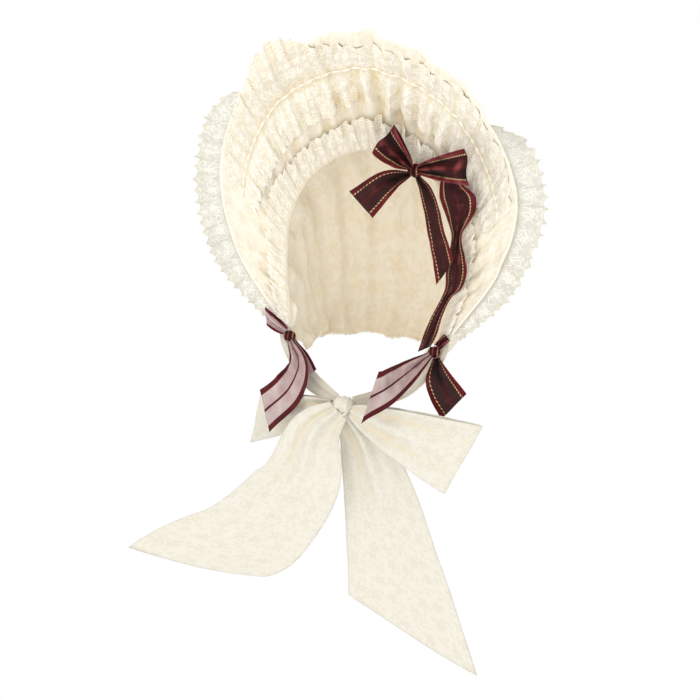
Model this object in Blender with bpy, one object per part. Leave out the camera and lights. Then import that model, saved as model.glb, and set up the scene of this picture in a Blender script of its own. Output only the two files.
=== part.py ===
# A cream bonnet: a wide gathered brim edged with three lace frills, a soft crown,
# burgundy ribbon bows, and a wide tie that is knotted in a bow under the chin.
# The origin is on the seam of the head opening, where it rests on top of the head.
# -Y is the front, +X the wearer's left and +Z up. Sizes below are in millimetres.

import math
from collections import namedtuple

import bmesh
import bpy
from mathutils import Matrix, Vector

MM = 0.001

# Walls of cloth, and the gap that is kept between two pieces that are sewn together
BRIM_WALL = 3.0
CROWN_WALL = 2.0
LACE_WALL = 1.2
RIBBON_WALL = 1.1
TIE_WALL = 1.5
SEAM_GAP = 0.4
FRILL_GAP = 0.9  # the same at the stitches of a frill, over the gathers
BACK_LACE_GAP = 1.3  # the same behind the brim
KNOT_GAP = 0.85  # the same where a band comes out of a knot

# Colours, linear
CREAM = (0.93, 0.84, 0.69)
TIE_CREAM = (0.94, 0.86, 0.71)
IVORY = (0.88, 0.84, 0.74)
BURGUNDY = (0.13, 0.012, 0.022)

# Gathers along the brim, from the right lower end over the top to the left one
BRIM_GATHERS = 28
STATIONS_PER_GATHER = 3
STATIONS = BRIM_GATHERS * STATIONS_PER_GATHER
CROWN_GATHERS = 14

# Half of the brim, from the top centre down to its lower end. seam is the head
# opening and rim the outer edge.
BrimRow = namedtuple("BrimRow", "seam rim")
BRIM_ROWS = (
    BrimRow(seam=(0, 0, 0), rim=(0, -96, 121)),
    BrimRow(seam=(38, 0, -9), rim=(56, -90, 106)),
    BrimRow(seam=(69, -2, -34), rim=(104, -79, 73)),
    BrimRow(seam=(86, -4, -72), rim=(139, -57, 16)),
    BrimRow(seam=(88, -6, -110), rim=(152, -35, -45)),
    BrimRow(seam=(84, -9, -150), rim=(133, -27, -113)),
    BrimRow(seam=(77, -14, -187), rim=(92, -18, -175)),
)
BRIM_DISH = 7.0  # how far the middle of the brim lies behind a flat one
FACING_STEP = 0.01  # the brim's run is taken between places this far apart

# Lines across the brim from seam (0) to rim (1), and how deep the gathers are there
GatherRow = namedtuple("GatherRow", "reach depth")
GATHER_ROWS = (
    GatherRow(0.00, 0.0),
    GatherRow(0.12, 0.0),
    GatherRow(0.30, 3.0),
    GatherRow(0.50, 3.4),
    GatherRow(0.68, 1.0),
    GatherRow(0.90, 2.2),
    GatherRow(1.00, 1.2),
)
FULL_GATHER_WIDTH = 50  # where the brim is narrower its gathers flatten out
TOP_PLEAT_GAIN = 0.55  # the pleats at the top centre are that much deeper
TOP_PLEAT_SPREAD = 0.17
FRILL_LINE = 0.68  # the middle frill is sewn on here
BACK_LINES = (0.88, 0.97)  # the outer lace lies on the brim's back between these

# The crown, as sections turned about a line through the ears
CROWN_PIVOT_Z = -205
CROWN_MIDDLE = (0, 40, -110)
CROWN_SEAM_REACH = 0.05  # it is sewn on behind the brim, this far out from the seam
CrownRow = namedtuple("CrownRow", "turn reach width gather")
CROWN_ROWS = (
    CrownRow(12, 1.06, 1.00, 2.5),
    CrownRow(30, 1.02, 1.02, 3.5),
    CrownRow(50, 0.89, 1.01, 3.5),
    CrownRow(66, 0.78, 0.96, 3.0),
    CrownRow(80, 0.69, 0.88, 3.0),
    CrownRow(89, 0.60, 0.80, 3.0),
    CrownRow(93, 0.54, 0.76, 1.5),
)

# A frill's lines: away is the distance from its stitches, lift its height off the brim
FrillRow = namedtuple("FrillRow", "away lift ruffle scallop")
INNER_LACE_ROWS = (
    FrillRow(0, 0, 0, 0),
    FrillRow(17, 3.5, 2.0, 0),
    FrillRow(34, 7.5, 3.5, 3),
)
MID_LACE_ROWS = (
    FrillRow(-36, 6, 3.0, -3),
    FrillRow(-18, 5, 2.5, 0),
    FrillRow(0, 0, 0, 0),
    FrillRow(18, 6, 2.5, 0),
    FrillRow(38, 10, 4.0, 3),
)
INNER_LACE_START = 3.0  # its stitches lie this far from the seam
# How much of its full width a frill has, from the top centre to the lower end
INNER_LACE_SHARE = (1.25, 0.92, 0.82, 0.95, 0.8, 0.6, 0.3)
MID_LACE_INWARD_SHARE = (0.95, 1.28, 1.15, 0.88, 0.4, 0.4, 0.4)
MID_LACE_OUTWARD_SHARE = (0.8, 1.0, 1.25, 0.9, 0.35, 0.35, 0.35)
MID_LACE_END_STATIONS = 15  # stations left bare at each lower end
# One flap of its outer wing stands out further: where along the brim, over what
# stretch, and by how much more of its width
MID_LACE_FLAP_SIDE = -0.25
MID_LACE_FLAP_SPREAD = 0.09
MID_LACE_FLAP_GAIN = 0.5
OUTER_LACE_REACH = (14, 13)  # the widths of its two free strips
OUTER_LACE_TOOTH = 3.0
OUTER_LACE_RUFFLE = 2.0
OUTER_LACE_SHARE = (0.75, 0.75, 0.85, 1.0, 1.0, 0.9, 0.35)
# The outer lace flops back over the top of the brim, by these degrees
OUTER_LACE_TURN = (168, 168, 158, 25, 0, 0, 0)
OUTER_LACE_LATER = 0.07  # and it turns this much further down on the wearer's left
OUTER_LACE_CURL = 0.8  # how much of that its pierced strip has turned

# The ribbon gathered down the left of the opening, as its two edges. crest is how
# far its middle stands in front of them.
CascadeRow = namedtuple("CascadeRow", "inner outer crest")
CASCADE_ACROSS = 3
CASCADE_STEPS = 25
CASCADE_ROWS = (
    CascadeRow(inner=(76, -35, -18), outer=(93, -41, -17), crest=1),
    CascadeRow(inner=(74, -34, -25), outer=(101, -41, -24), crest=2),
    CascadeRow(inner=(75, -35, -38), outer=(112, -42, -32), crest=5),
    CascadeRow(inner=(80, -33, -51), outer=(112, -38, -47), crest=5),
    CascadeRow(inner=(84, -29, -63), outer=(104, -31, -61), crest=3),
    CascadeRow(inner=(87, -26.5, -74), outer=(98, -27.5, -71), crest=0),
    CascadeRow(inner=(87, -26.5, -84), outer=(98, -27.5, -82), crest=0),
    CascadeRow(inner=(86, -29, -98), outer=(103, -32, -94), crest=4),
    CascadeRow(inner=(84, -28, -112), outer=(106, -32, -109), crest=5),
    CascadeRow(inner=(84, -26, -127), outer=(101, -29, -126), crest=3),
    CascadeRow(inner=(80, -25, -139), outer=(90, -26, -138), crest=0),
    CascadeRow(inner=(71, -27, -160), outer=(83, -29, -157), crest=1),
    CascadeRow(inner=(65, -25, -176), outer=(77, -25, -175), crest=1),
    CascadeRow(inner=(60, -26, -195), outer=(72, -25, -187.2), crest=0),
)

# Knots, as half their size across, up and deep. The top one sits on the brim's seam and
# the end ones where the brim ends in the tie.
TOP_KNOT = (8.5, 7.0, 6.0)
END_KNOT = (6.5, 5.5, 5.0)
TOP_KNOT_PLACE = 1.2  # its row along the half brim
TOP_KNOT_FROM_SEAM = 2.0
TOP_KNOT_HEIGHT = 9.8
END_KNOT_CENTRE = (76, -24, -194)
TIE_KNOT = (11.0, 8.5, 8.0)
TIE_KNOT_CENTRE = (1, -80, -245)
KNOT_SIDES = (12, 6)  # its faces round and up

# A loop leaves its knot in the direction of leaves, runs out to tip, folds over and
# runs back. puff is how far it stands open and slant how much its fold is cut over.
Loop = namedtuple("Loop", "leaves tip root_width tip_width puff slant")
LOOP_PINCH = 2.2  # its two layers are this many walls apart at the knot
LOOP_FLARE = 0.7  # below 1, it widens mostly near the knot
LOOP_FOLD = 0.12  # depth of the folds at the knot, as a share of its width
LOOP_STEPS = 12
TOP_LOOP_RIGHT = Loop((-0.6, -0.8, 0.6), (21, -60, 18), 6, 37, 11, 24)
TOP_LOOP_LEFT = Loop((0.6, -0.9, 0.3), (110, -80, 0), 5, 35, 8, 0)
END_LOOP_RIGHT = Loop((-0.65, -0.1, 0.75), (-101, -28, -175), 8, 14, 7, 12)
END_LOOP_LEFT = Loop((0.5, 0.1, 0.8), (89, -27, -177), 7, 9, 5, 0)
TIE_LOOP_RIGHT = Loop((-0.9, 0.2, -0.45), (-105, -34, -281), 18, 50, 8, -34)
TIE_LOOP_LEFT = Loop((0.9, -0.35, -0.35), (130, -100, -280), 10, 78, 10, -14)

# A tail leaves its knot and passes its rows, each a place of its centre line. Its end
# is cut off at a slant.
Tail = namedtuple("Tail", "leaves root_width slant rows")
TailRow = namedtuple("TailRow", "x y z width turn")
TAIL_FOLD = 0.25  # depth of the pleats at the knot, as a share of their width
TAIL_STEP = 0.02  # the tail's run is taken between places this far apart
RIBBON_PLEATS = 1
RIBBON_STEPS = 8
TIE_PLEATS = 2
TIE_STEPS = 12
TIE_LOOP_ACROSS = 4
TOP_TAIL_RIGHT = Tail(
    leaves=(-0.65, -0.7, -0.5),
    root_width=5,
    slant=0,
    rows=(TailRow(21, -38, -27, 24, 0), TailRow(0, -52, -49, 35, 0)),
)
TOP_TAIL_LEFT = Tail(
    leaves=(0.5, -0.65, -0.65),
    root_width=5,
    slant=20,
    rows=(
        TailRow(63, -34, -38, 16, 12),
        TailRow(74, -37, -72, 20, 20),
        TailRow(86, -40, -110, 26, 20),
    ),
)
RIGHT_TAIL_FRONT = Tail(
    leaves=(0.35, -0.75, -0.55),
    root_width=6,
    slant=-22,
    rows=(
        TailRow(-57, -52, -215, 22, 0),
        TailRow(-60, -71, -238, 34, 0),
        TailRow(-82, -76, -262, 38, 0),
    ),
)
RIGHT_TAIL_BACK = Tail(
    leaves=(0.75, -0.15, -0.65),
    root_width=5,
    slant=8,
    rows=(TailRow(-56, -42, -213, 18, 0), TailRow(-48, -47, -229, 24, 0)),
)
LEFT_TAIL_FRONT = Tail(
    leaves=(-0.4, -0.85, -0.3),
    root_width=6,
    slant=-42,
    rows=(
        TailRow(61, -62, -208, 22, 0),
        TailRow(49, -94, -219, 32, 0),
        TailRow(36, -110, -227, 36, 0),
    ),
)
LEFT_TAIL_BACK = Tail(
    leaves=(0.35, 0.1, -0.9),
    root_width=6,
    slant=8,
    rows=(
        TailRow(84, -34, -216, 26, 0),
        TailRow(92, -36, -230, 34, 0),
        TailRow(103, -38, -244, 36, 0),
    ),
)
TIE_TAIL_RIGHT = Tail(
    leaves=(-0.55, -0.5, -0.75),
    root_width=20,
    slant=112,
    rows=(
        TailRow(-24, -92, -276, 56, 0),
        TailRow(-38, -96, -325, 82, 0),
        TailRow(-80, -99, -380, 94, 0),
        TailRow(-141, -102, -421, 90, 0),
    ),
)
TIE_TAIL_LEFT = Tail(
    leaves=(0.5, 0.1, -0.85),
    root_width=20,
    slant=-100,
    rows=(
        TailRow(24, -76, -282, 52, 0),
        TailRow(45, -78, -335, 74, 0),
        TailRow(64, -82, -395, 93, 0),
        TailRow(87, -88, -469, 113, 0),
    ),
)

# The tie's hidden stretch under the jaw, as its two edges. It starts at the brim's lower
# end, between the shares STRAP_ENDS of its width, and enters the knot STRAP_ROOT wide.
STRAP_FOLD = 1.2  # depth of its gathers
STRAP_DROP = 2.0  # how far it starts below the brim's end
STRAP_ENDS = (0.08, 0.92)
STRAP_LEAVES = (1, 0.9, 0.4)
STRAP_ROOT = 10
STRAP_STEPS = 8
STRAP_ACROSS = 4
StrapRow = namedtuple("StrapRow", "upper lower")
STRAP_ROWS = (
    StrapRow(upper=(67, -19, -203), lower=(85, -22, -204)),
    StrapRow(upper=(46, -34, -224), lower=(58, -38, -237)),
    StrapRow(upper=(25, -52, -233), lower=(33, -52, -247)),
)

Knot = namedtuple("Knot", "centre axes halves")


def start_afresh():
    for thing in list(bpy.data.objects):
        bpy.data.objects.remove(thing, do_unlink=True)


def cloth_finish(name, colour, roughness):
    finish = bpy.data.materials.new(name)
    finish.use_nodes = True
    shader = finish.node_tree.nodes["Principled BSDF"]
    shader.inputs["Base Color"].default_value = (*colour, 1)
    shader.inputs["Roughness"].default_value = roughness
    shader.inputs["Metallic"].default_value = 0
    return finish


def through(points, place):
    """The point at place, from 0 to len(points) - 1, on a smooth line through the points."""
    last = len(points) - 1
    i = max(0, min(int(place), last - 1))
    part = place - i
    here, there = points[i], points[i + 1]
    before = points[i - 1] if i > 0 else 2 * here - there
    after = points[i + 2] if i + 2 <= last else 2 * there - here
    return 0.5 * (
        2 * here
        + (there - before) * part
        + (2 * before - 5 * here + 4 * there - after) * part**2
        + (3 * here - before - 3 * there + after) * part**3
    )


def both_halves(points):
    """A half line, mirrored at its first point, from the right lower end to the left one."""
    mirrored = [Vector((-p[0], p[1], p[2])) for p in points[:0:-1]]
    return mirrored + [Vector(p) for p in points]


SEAM_LINE = both_halves([row.seam for row in BRIM_ROWS])
RIM_LINE = both_halves([row.rim for row in BRIM_ROWS])
HALF_ROWS = len(BRIM_ROWS) - 1


def share_at(shares, side):
    """A share from a half table, at side from -1 (right lower end) to 1 (left one)."""
    place = abs(side) * HALF_ROWS
    i = min(int(place), HALF_ROWS - 1)
    return shares[i] + (shares[i + 1] - shares[i]) * (place - i)


def seam_point(side):
    return through(SEAM_LINE, (side + 1) * HALF_ROWS)


def rim_point(side):
    return through(RIM_LINE, (side + 1) * HALF_ROWS)


def flat_brim(side, reach):
    return seam_point(side).lerp(rim_point(side), reach)


def brim_facing(side, reach):
    """The direction that the brim's front faces."""
    ahead = flat_brim(min(side + FACING_STEP, 1), reach)
    behind = flat_brim(max(side - FACING_STEP, -1), reach)
    along = ahead - behind
    across = rim_point(side) - seam_point(side)
    return along.cross(across).normalized()


def brim_width(side):
    return (rim_point(side) - seam_point(side)).length


def gather_depth(side, reach):
    for low, high in zip(GATHER_ROWS, GATHER_ROWS[1:]):
        if reach <= high.reach or high is GATHER_ROWS[-1]:
            part = min((reach - low.reach) / (high.reach - low.reach), 1)
            depth = low.depth + (high.depth - low.depth) * part
            break
    top = math.exp(-((side / TOP_PLEAT_SPREAD) ** 2))
    narrow = min(1, brim_width(side) / FULL_GATHER_WIDTH) ** 2
    return depth * (1 + TOP_PLEAT_GAIN * top) * narrow


def brim_point(side, reach, lift=0.0):
    """A point on the gathered brim's middle surface, or lift in front of it."""
    facing = brim_facing(side, reach)
    dish = BRIM_DISH * math.sin(math.pi * min(reach, 1)) * brim_width(side) / brim_width(0)
    wave = math.cos(math.pi * BRIM_GATHERS * (side + 1))
    return flat_brim(side, reach) + facing * (
        lift - dish + gather_depth(side, reach) * wave
    )


def side_of(station):
    return 2 * station / STATIONS - 1


def cloth(name, grid, wall, finish, holes=()):
    """A wall of even thickness along a grid of points, with a hole for each face in holes."""
    across = len(grid[0])
    faces = [
        (a, a + 1, a + across + 1, a + across)
        for i in range(len(grid) - 1)
        for j in range(across - 1)
        if (i, j) not in holes
        for a in (i * across + j,)
    ]
    mesh = bpy.data.meshes.new(name)
    mesh.from_pydata([point * MM for line in grid for point in line], [], faces)
    mesh.shade_smooth()
    mesh.materials.append(finish)
    body = bpy.data.objects.new(name, mesh)
    bpy.context.scene.collection.objects.link(body)
    flat = body.modifiers.new("flat_faces", "TRIANGULATE")
    flat.quad_method = "FIXED"
    solid = body.modifiers.new("wall", "SOLIDIFY")
    solid.thickness = wall * MM
    solid.offset = 0
    return body


def make_brim(finish):
    grid = [
        [brim_point(side_of(i), row.reach) for row in GATHER_ROWS]
        for i in range(STATIONS + 1)
    ]
    return cloth("brim", grid, BRIM_WALL, finish)


def make_crown(finish):
    seam_lift = -((BRIM_WALL + CROWN_WALL) / 2 + SEAM_GAP)
    stations = STATIONS // 2
    middle = Vector(CROWN_MIDDLE)
    grid = []
    for i in range(stations + 1):
        side = 2 * i / stations - 1
        seam = seam_point(side)
        height = seam.z - CROWN_PIVOT_Z
        line = [brim_point(side, CROWN_SEAM_REACH, seam_lift)]
        for row in CROWN_ROWS:
            turn = math.radians(row.turn)
            point = Vector(
                (
                    seam.x * row.width,
                    seam.y + height * row.reach * math.sin(turn),
                    CROWN_PIVOT_Z + height * row.reach * math.cos(turn),
                )
            )
            wave = math.cos(math.pi * CROWN_GATHERS * (side + 1))
            line.append(point + (point - middle).normalized() * row.gather * wave)
        grid.append(line)
    return cloth("crown", grid, CROWN_WALL, finish)


def frill_line(row, side, stitches, share, station):
    """A point of a frill: a row of its table at one station."""
    zigzag = 0.5 + 0.5 * (-1) ** station
    away = row.away * share + row.scallop * share * zigzag
    lift = FRILL_GAP + (BRIM_WALL + LACE_WALL) / 2 + (row.lift + row.ruffle * zigzag) * share
    return brim_point(side, stitches + away / brim_width(side), lift)


def make_inner_lace(finish):
    grid = []
    for i in range(STATIONS + 1):
        side = side_of(i)
        stitches = INNER_LACE_START / brim_width(side)
        share = share_at(INNER_LACE_SHARE, side)
        grid.append(
            [frill_line(row, side, stitches, share, i) for row in INNER_LACE_ROWS]
        )
    holes = {(i, 0) for i in range(1, STATIONS - 1, 3)}
    return cloth("inner_lace", grid, LACE_WALL, finish, holes)


def make_mid_lace(finish):
    grid = []
    for i in range(MID_LACE_END_STATIONS, STATIONS + 1 - MID_LACE_END_STATIONS):
        side = side_of(i)
        inward = share_at(MID_LACE_INWARD_SHARE, side)
        flap = math.exp(-(((side - MID_LACE_FLAP_SIDE) / MID_LACE_FLAP_SPREAD) ** 2))
        outward = share_at(MID_LACE_OUTWARD_SHARE, side) * (1 + MID_LACE_FLAP_GAIN * flap)
        grid.append(
            [
                frill_line(row, side, FRILL_LINE, inward if row.away < 0 else outward, i)
                for row in MID_LACE_ROWS
            ]
        )
    holes = {(i, 2) for i in range(1, len(grid) - 2, 2)}
    return cloth("mid_lace", grid, LACE_WALL, finish, holes)


def make_outer_lace(finish):
    behind = -(BACK_LACE_GAP + (BRIM_WALL + LACE_WALL) / 2)
    grid = []
    for i in range(STATIONS + 1):
        side = side_of(i)
        ahead = rim_point(min(side + FACING_STEP, 1))
        along = ahead - rim_point(max(side - FACING_STEP, -1))
        backward = -brim_facing(side, 1)
        outward = along.cross(backward).normalized()
        turn_side = max(side - OUTER_LACE_LATER, 0) if side > 0 else side
        turn = math.radians(share_at(OUTER_LACE_TURN, turn_side))
        share = share_at(OUTER_LACE_SHARE, side)
        zigzag = (-1) ** i
        line = [brim_point(side, reach, behind) for reach in BACK_LINES]
        for width, angle, tooth in (
            (OUTER_LACE_REACH[0], turn * OUTER_LACE_CURL, 0),
            (OUTER_LACE_REACH[1], turn, OUTER_LACE_TOOTH),
        ):
            way = outward * math.cos(angle) + backward * math.sin(angle)
            crest = backward * math.cos(angle) - outward * math.sin(angle)
            ruffle = OUTER_LACE_RUFFLE * zigzag
            line.append(line[-1] + (way * (width + tooth * zigzag) + crest * ruffle) * share)
        grid.append(line)
    holes = {(i, 1) for i in range(1, STATIONS, 2)}
    return cloth("outer_lace", grid, LACE_WALL, finish, holes)


def make_knot(name, centre, facing, halves, finish):
    across = Vector((0, 0, 1)).cross(facing).normalized()
    up = facing.cross(across)
    turn = Matrix((across, up, facing)).transposed().to_4x4()
    shape = bmesh.new()
    round_it, upward = KNOT_SIDES
    bmesh.ops.create_uvsphere(shape, u_segments=round_it, v_segments=upward, radius=MM)
    bmesh.ops.scale(shape, vec=Vector(halves), verts=shape.verts)
    bmesh.ops.transform(shape, matrix=turn, verts=shape.verts)
    mesh = bpy.data.meshes.new(name)
    shape.to_mesh(mesh)
    shape.free()
    mesh.shade_smooth()
    mesh.materials.append(finish)
    body = bpy.data.objects.new(name, mesh)
    body.location = centre * MM
    bpy.context.scene.collection.objects.link(body)
    return Knot(centre, (across, up, facing), halves)


def out_of(knot, direction):
    """The point just off the knot where a band that runs in this direction starts."""
    way = Vector(direction).normalized()
    stretch = sum((way.dot(axis) / half) ** 2 for axis, half in zip(knot.axes, knot.halves))
    return knot.centre + way * (1 / math.sqrt(stretch) + KNOT_GAP)


def make_tail(name, knot, tail, wall, finish, pleats=RIBBON_PLEATS, steps=RIBBON_STEPS):
    across = 2 * pleats
    last = len(tail.rows)
    root = out_of(knot, tail.leaves)
    lines = [Vector((*root, tail.root_width))]
    lines += [Vector((row.x, row.y, row.z, row.width)) for row in tail.rows]
    turns = [0] + [row.turn for row in tail.rows]
    front = Vector((0, -1, 0))
    grid = []
    for i in range(steps + 1):
        place = i / steps * last
        here = through(lines, place)
        ahead = through(lines, min(place + TAIL_STEP, last))
        ahead -= through(lines, max(place - TAIL_STEP, 0))
        ahead = ahead.xyz.normalized()
        step = min(int(place), last - 1)
        turn = turns[step] + (turns[step + 1] - turns[step]) * (place - step)
        sideways = Matrix.Rotation(math.radians(turn), 3, ahead) @ ahead.cross(front).normalized()
        normal = sideways.cross(ahead)
        share = i / steps
        fold = TAIL_FOLD * here.w / across * (1 - share) ** 2
        grid.append(
            [
                here.xyz
                + sideways * here.w * (j / across - 0.5)
                + ahead * tail.slant * (j / across - 0.5) * share**2
                + normal * fold * (-1) ** j
                for j in range(across + 1)
            ]
        )
    return cloth(name, grid, wall, finish)


def make_loop(name, knot, loop, wall, finish, across=2 * RIBBON_PLEATS):
    root = out_of(knot, loop.leaves)
    out = Vector(loop.tip) - root
    length = out.length
    out.normalize()
    front = Vector((0, -1, 0))
    sideways = out.cross(front).normalized()
    normal = sideways.cross(out)
    pinch = LOOP_PINCH * wall
    grid = []
    for i in range(LOOP_STEPS + 1):
        angle = math.pi * (2 * i / LOOP_STEPS - 1)
        share = 0.5 + 0.5 * math.cos(angle)
        open_by = 0.5 * loop.puff * math.sin(angle) * math.sqrt(share)
        open_by += math.copysign(pinch / 2, angle) * (1 - share)
        width = loop.root_width + (loop.tip_width - loop.root_width) * share**LOOP_FLARE
        middle = root + out * length * share + normal * open_by
        fold = LOOP_FOLD * width * (1 - share) / across
        grid.append(
            [
                middle
                + (sideways * width + out * loop.slant * share) * (j / across - 0.5)
                + normal * fold * (-1) ** j
                for j in range(across + 1)
            ]
        )
    return cloth(name, grid, wall, finish)


def make_cascade(finish):
    inner = [Vector(row.inner) for row in CASCADE_ROWS]
    outer = [Vector(row.outer) for row in CASCADE_ROWS]
    crests = [row.crest for row in CASCADE_ROWS]
    front = Vector((0, -1, 0))
    grid = []
    for i in range(CASCADE_STEPS + 1):
        place = i / CASCADE_STEPS * (len(CASCADE_ROWS) - 1)
        start = through(inner, place)
        end = through(outer, place)
        crest = through(crests, place)
        shares = [j / CASCADE_ACROSS for j in range(CASCADE_ACROSS + 1)]
        grid.append(
            [start.lerp(end, t) + front * crest * math.sin(math.pi * t) for t in shares]
        )
    return cloth("ribbon_cascade", grid, RIBBON_WALL, finish)


def make_strap(name, mirror, knot, finish):
    """The tie from a lower end of the brim to the knot under the chin."""
    down = (flat_brim(1, 0.5) - flat_brim(1 - FACING_STEP, 0.5)).normalized()
    x, y, z = STRAP_LEAVES
    leave = out_of(knot, (mirror * x, y, z))
    leave.x *= mirror
    half_root = Vector((0, 0, STRAP_ROOT / 2))
    upper = [flat_brim(1, STRAP_ENDS[0]) + down * STRAP_DROP]
    upper += [Vector(row.upper) for row in STRAP_ROWS] + [leave + half_root]
    lower = [flat_brim(1, STRAP_ENDS[1]) + down * STRAP_DROP]
    lower += [Vector(row.lower) for row in STRAP_ROWS] + [leave - half_root]
    grid = []
    for i in range(STRAP_STEPS + 1):
        place = i / STRAP_STEPS * (len(upper) - 1)
        above = through(upper, place)
        below = through(lower, place)
        fold = STRAP_FOLD * math.sin(math.pi * i / STRAP_STEPS)
        line = [
            above.lerp(below, j / STRAP_ACROSS) + Vector((0, fold * (-1) ** j, 0))
            for j in range(STRAP_ACROSS + 1)
        ]
        grid.append([Vector((mirror * p.x, p.y, p.z)) for p in line])
    return cloth(name, grid, TIE_WALL, finish)


def make_top_bow(finish):
    side = TOP_KNOT_PLACE / HALF_ROWS
    centre = brim_point(side, TOP_KNOT_FROM_SEAM / brim_width(side), TOP_KNOT_HEIGHT)
    knot = make_knot("top_bow_knot", centre, brim_facing(side, 0), TOP_KNOT, finish)
    make_loop("top_bow_loop_right", knot, TOP_LOOP_RIGHT, RIBBON_WALL, finish)
    make_loop("top_bow_loop_left", knot, TOP_LOOP_LEFT, RIBBON_WALL, finish)
    make_tail("top_bow_tail_right", knot, TOP_TAIL_RIGHT, RIBBON_WALL, finish)
    make_tail("top_bow_tail_left", knot, TOP_TAIL_LEFT, RIBBON_WALL, finish)


def end_knot(name, mirror, finish):
    x, y, z = END_KNOT_CENTRE
    centre = Vector((mirror * x, y, z))
    return make_knot(name, centre, Vector((0, -1, 0)), END_KNOT, finish)


def make_right_bow(finish):
    knot = end_knot("right_bow_knot", -1, finish)
    make_loop("right_bow_loop", knot, END_LOOP_RIGHT, RIBBON_WALL, finish)
    make_tail("right_bow_tail_front", knot, RIGHT_TAIL_FRONT, RIBBON_WALL, finish)
    make_tail("right_bow_tail_back", knot, RIGHT_TAIL_BACK, RIBBON_WALL, finish)


def make_left_bow(finish):
    knot = end_knot("left_bow_knot", 1, finish)
    make_loop("left_bow_loop", knot, END_LOOP_LEFT, RIBBON_WALL, finish)
    make_tail("left_bow_tail_front", knot, LEFT_TAIL_FRONT, RIBBON_WALL, finish)
    make_tail("left_bow_tail_back", knot, LEFT_TAIL_BACK, RIBBON_WALL, finish)


def make_tie(finish):
    centre = Vector(TIE_KNOT_CENTRE)
    knot = make_knot("tie_knot", centre, Vector((0, -1, 0)), TIE_KNOT, finish)
    make_strap("tie_strap_right", -1, knot, finish)
    make_strap("tie_strap_left", 1, knot, finish)
    make_loop("tie_loop_right", knot, TIE_LOOP_RIGHT, TIE_WALL, finish, TIE_LOOP_ACROSS)
    make_loop("tie_loop_left", knot, TIE_LOOP_LEFT, TIE_WALL, finish, TIE_LOOP_ACROSS)
    for name, tail in (("tie_tail_right", TIE_TAIL_RIGHT), ("tie_tail_left", TIE_TAIL_LEFT)):
        make_tail(name, knot, tail, TIE_WALL, finish, TIE_PLEATS, TIE_STEPS)


def main():
    start_afresh()
    cotton = cloth_finish("cream_jacquard", CREAM, 0.8)
    tie_cotton = cloth_finish("cream_tie", TIE_CREAM, 0.8)
    lace = cloth_finish("ivory_lace", IVORY, 0.85)
    ribbon = cloth_finish("burgundy_ribbon", BURGUNDY, 0.4)
    make_brim(cotton)
    make_crown(cotton)
    make_outer_lace(lace)
    make_mid_lace(lace)
    make_inner_lace(lace)
    make_cascade(ribbon)
    make_top_bow(ribbon)
    make_right_bow(ribbon)
    make_left_bow(ribbon)
    make_tie(tie_cotton)


main()
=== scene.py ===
# A cream bonnet: gathered brim and crown, three lace frills, burgundy ribbon bows and a wide chin tie.
# Lengths are millimetres, and become metres where a mesh is made. -Y is the front, +X the wearer's left.

import math
from functools import lru_cache, partial

import bpy
from mathutils import Matrix, Vector, noise


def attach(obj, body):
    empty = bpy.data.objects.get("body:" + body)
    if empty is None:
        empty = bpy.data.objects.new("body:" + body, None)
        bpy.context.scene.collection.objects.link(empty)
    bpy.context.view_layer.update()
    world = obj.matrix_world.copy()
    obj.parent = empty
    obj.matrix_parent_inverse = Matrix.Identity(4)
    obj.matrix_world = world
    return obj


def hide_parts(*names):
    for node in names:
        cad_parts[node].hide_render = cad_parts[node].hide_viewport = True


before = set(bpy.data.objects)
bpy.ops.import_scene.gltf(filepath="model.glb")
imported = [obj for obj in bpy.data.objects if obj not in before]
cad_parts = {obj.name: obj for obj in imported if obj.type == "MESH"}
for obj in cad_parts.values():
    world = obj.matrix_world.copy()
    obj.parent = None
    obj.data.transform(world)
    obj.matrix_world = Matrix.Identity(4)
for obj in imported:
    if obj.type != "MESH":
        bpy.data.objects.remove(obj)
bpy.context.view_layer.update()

mm = 0.001
front = Vector((0, -1, 0))


# Small tools for lines, noise and tables

def through(points, place):  # a point on a smooth line, place runs from 0 to len(points) - 1
    last = len(points) - 1
    i = max(0, min(int(place), last - 1))
    part = place - i
    here, there = points[i], points[i + 1]
    before = points[i - 1] if i > 0 else 2 * here - there
    after = points[i + 2] if i + 2 <= last else 2 * there - here
    return 0.5 * (
        2 * here
        + (there - before) * part
        + (2 * before - 5 * here + 4 * there - after) * part**2
        + (3 * here - before - 3 * there + after) * part**3
    )


def ramp(value, low, high):  # 0 below low, 1 above high, smooth between
    part = min(max((value - low) / (high - low), 0), 1)
    return part * part * (3 - 2 * part)


def between(table, value):  # a number from a table of (place, number), straight between its rows
    for (a, low), (b, high) in zip(table, table[1:]):
        if value <= b or (b, high) == table[-1]:
            return low + (high - low) * min(max((value - a) / (b - a), 0), 1)


def wrinkle(x, y, seed, size):  # smooth noise from -1 to 1, its bumps this size, its seed any
    return noise.noise(Vector((x / size, y / size, seed)))


# Materials. Colours are sRGB hex, as seen on the cloth.

def linear(hexColour):
    parts = [int(hexColour[i : i + 2], 16) / 255 for i in (1, 3, 5)]
    return (*[c / 12.92 if c <= 0.04045 else ((c + 0.055) / 1.055) ** 2.4 for c in parts], 1)


def addNode(tree, kind, inputs=None, out=0, **settings):  # adds a node, gives back an output
    node = tree.nodes.new("ShaderNode" + kind)
    for name, value in settings.items():
        setattr(node, name, value)
    for socket, value in (inputs or {}).items():
        if isinstance(value, bpy.types.NodeSocket):
            tree.links.new(value, node.inputs[socket])
        else:
            node.inputs[socket].default_value = value
    return node.outputs[out] if node.outputs else node


def startMaterial(name):  # gives back the material, and the call that adds a node to it
    material = bpy.data.materials.new(name)
    material.use_nodes = True
    material.node_tree.nodes.clear()
    return material, partial(addNode, material.node_tree)


# Woven figures, each a mask that is 1 inside the figure. Places and sizes are millimetres of cloth.

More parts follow.
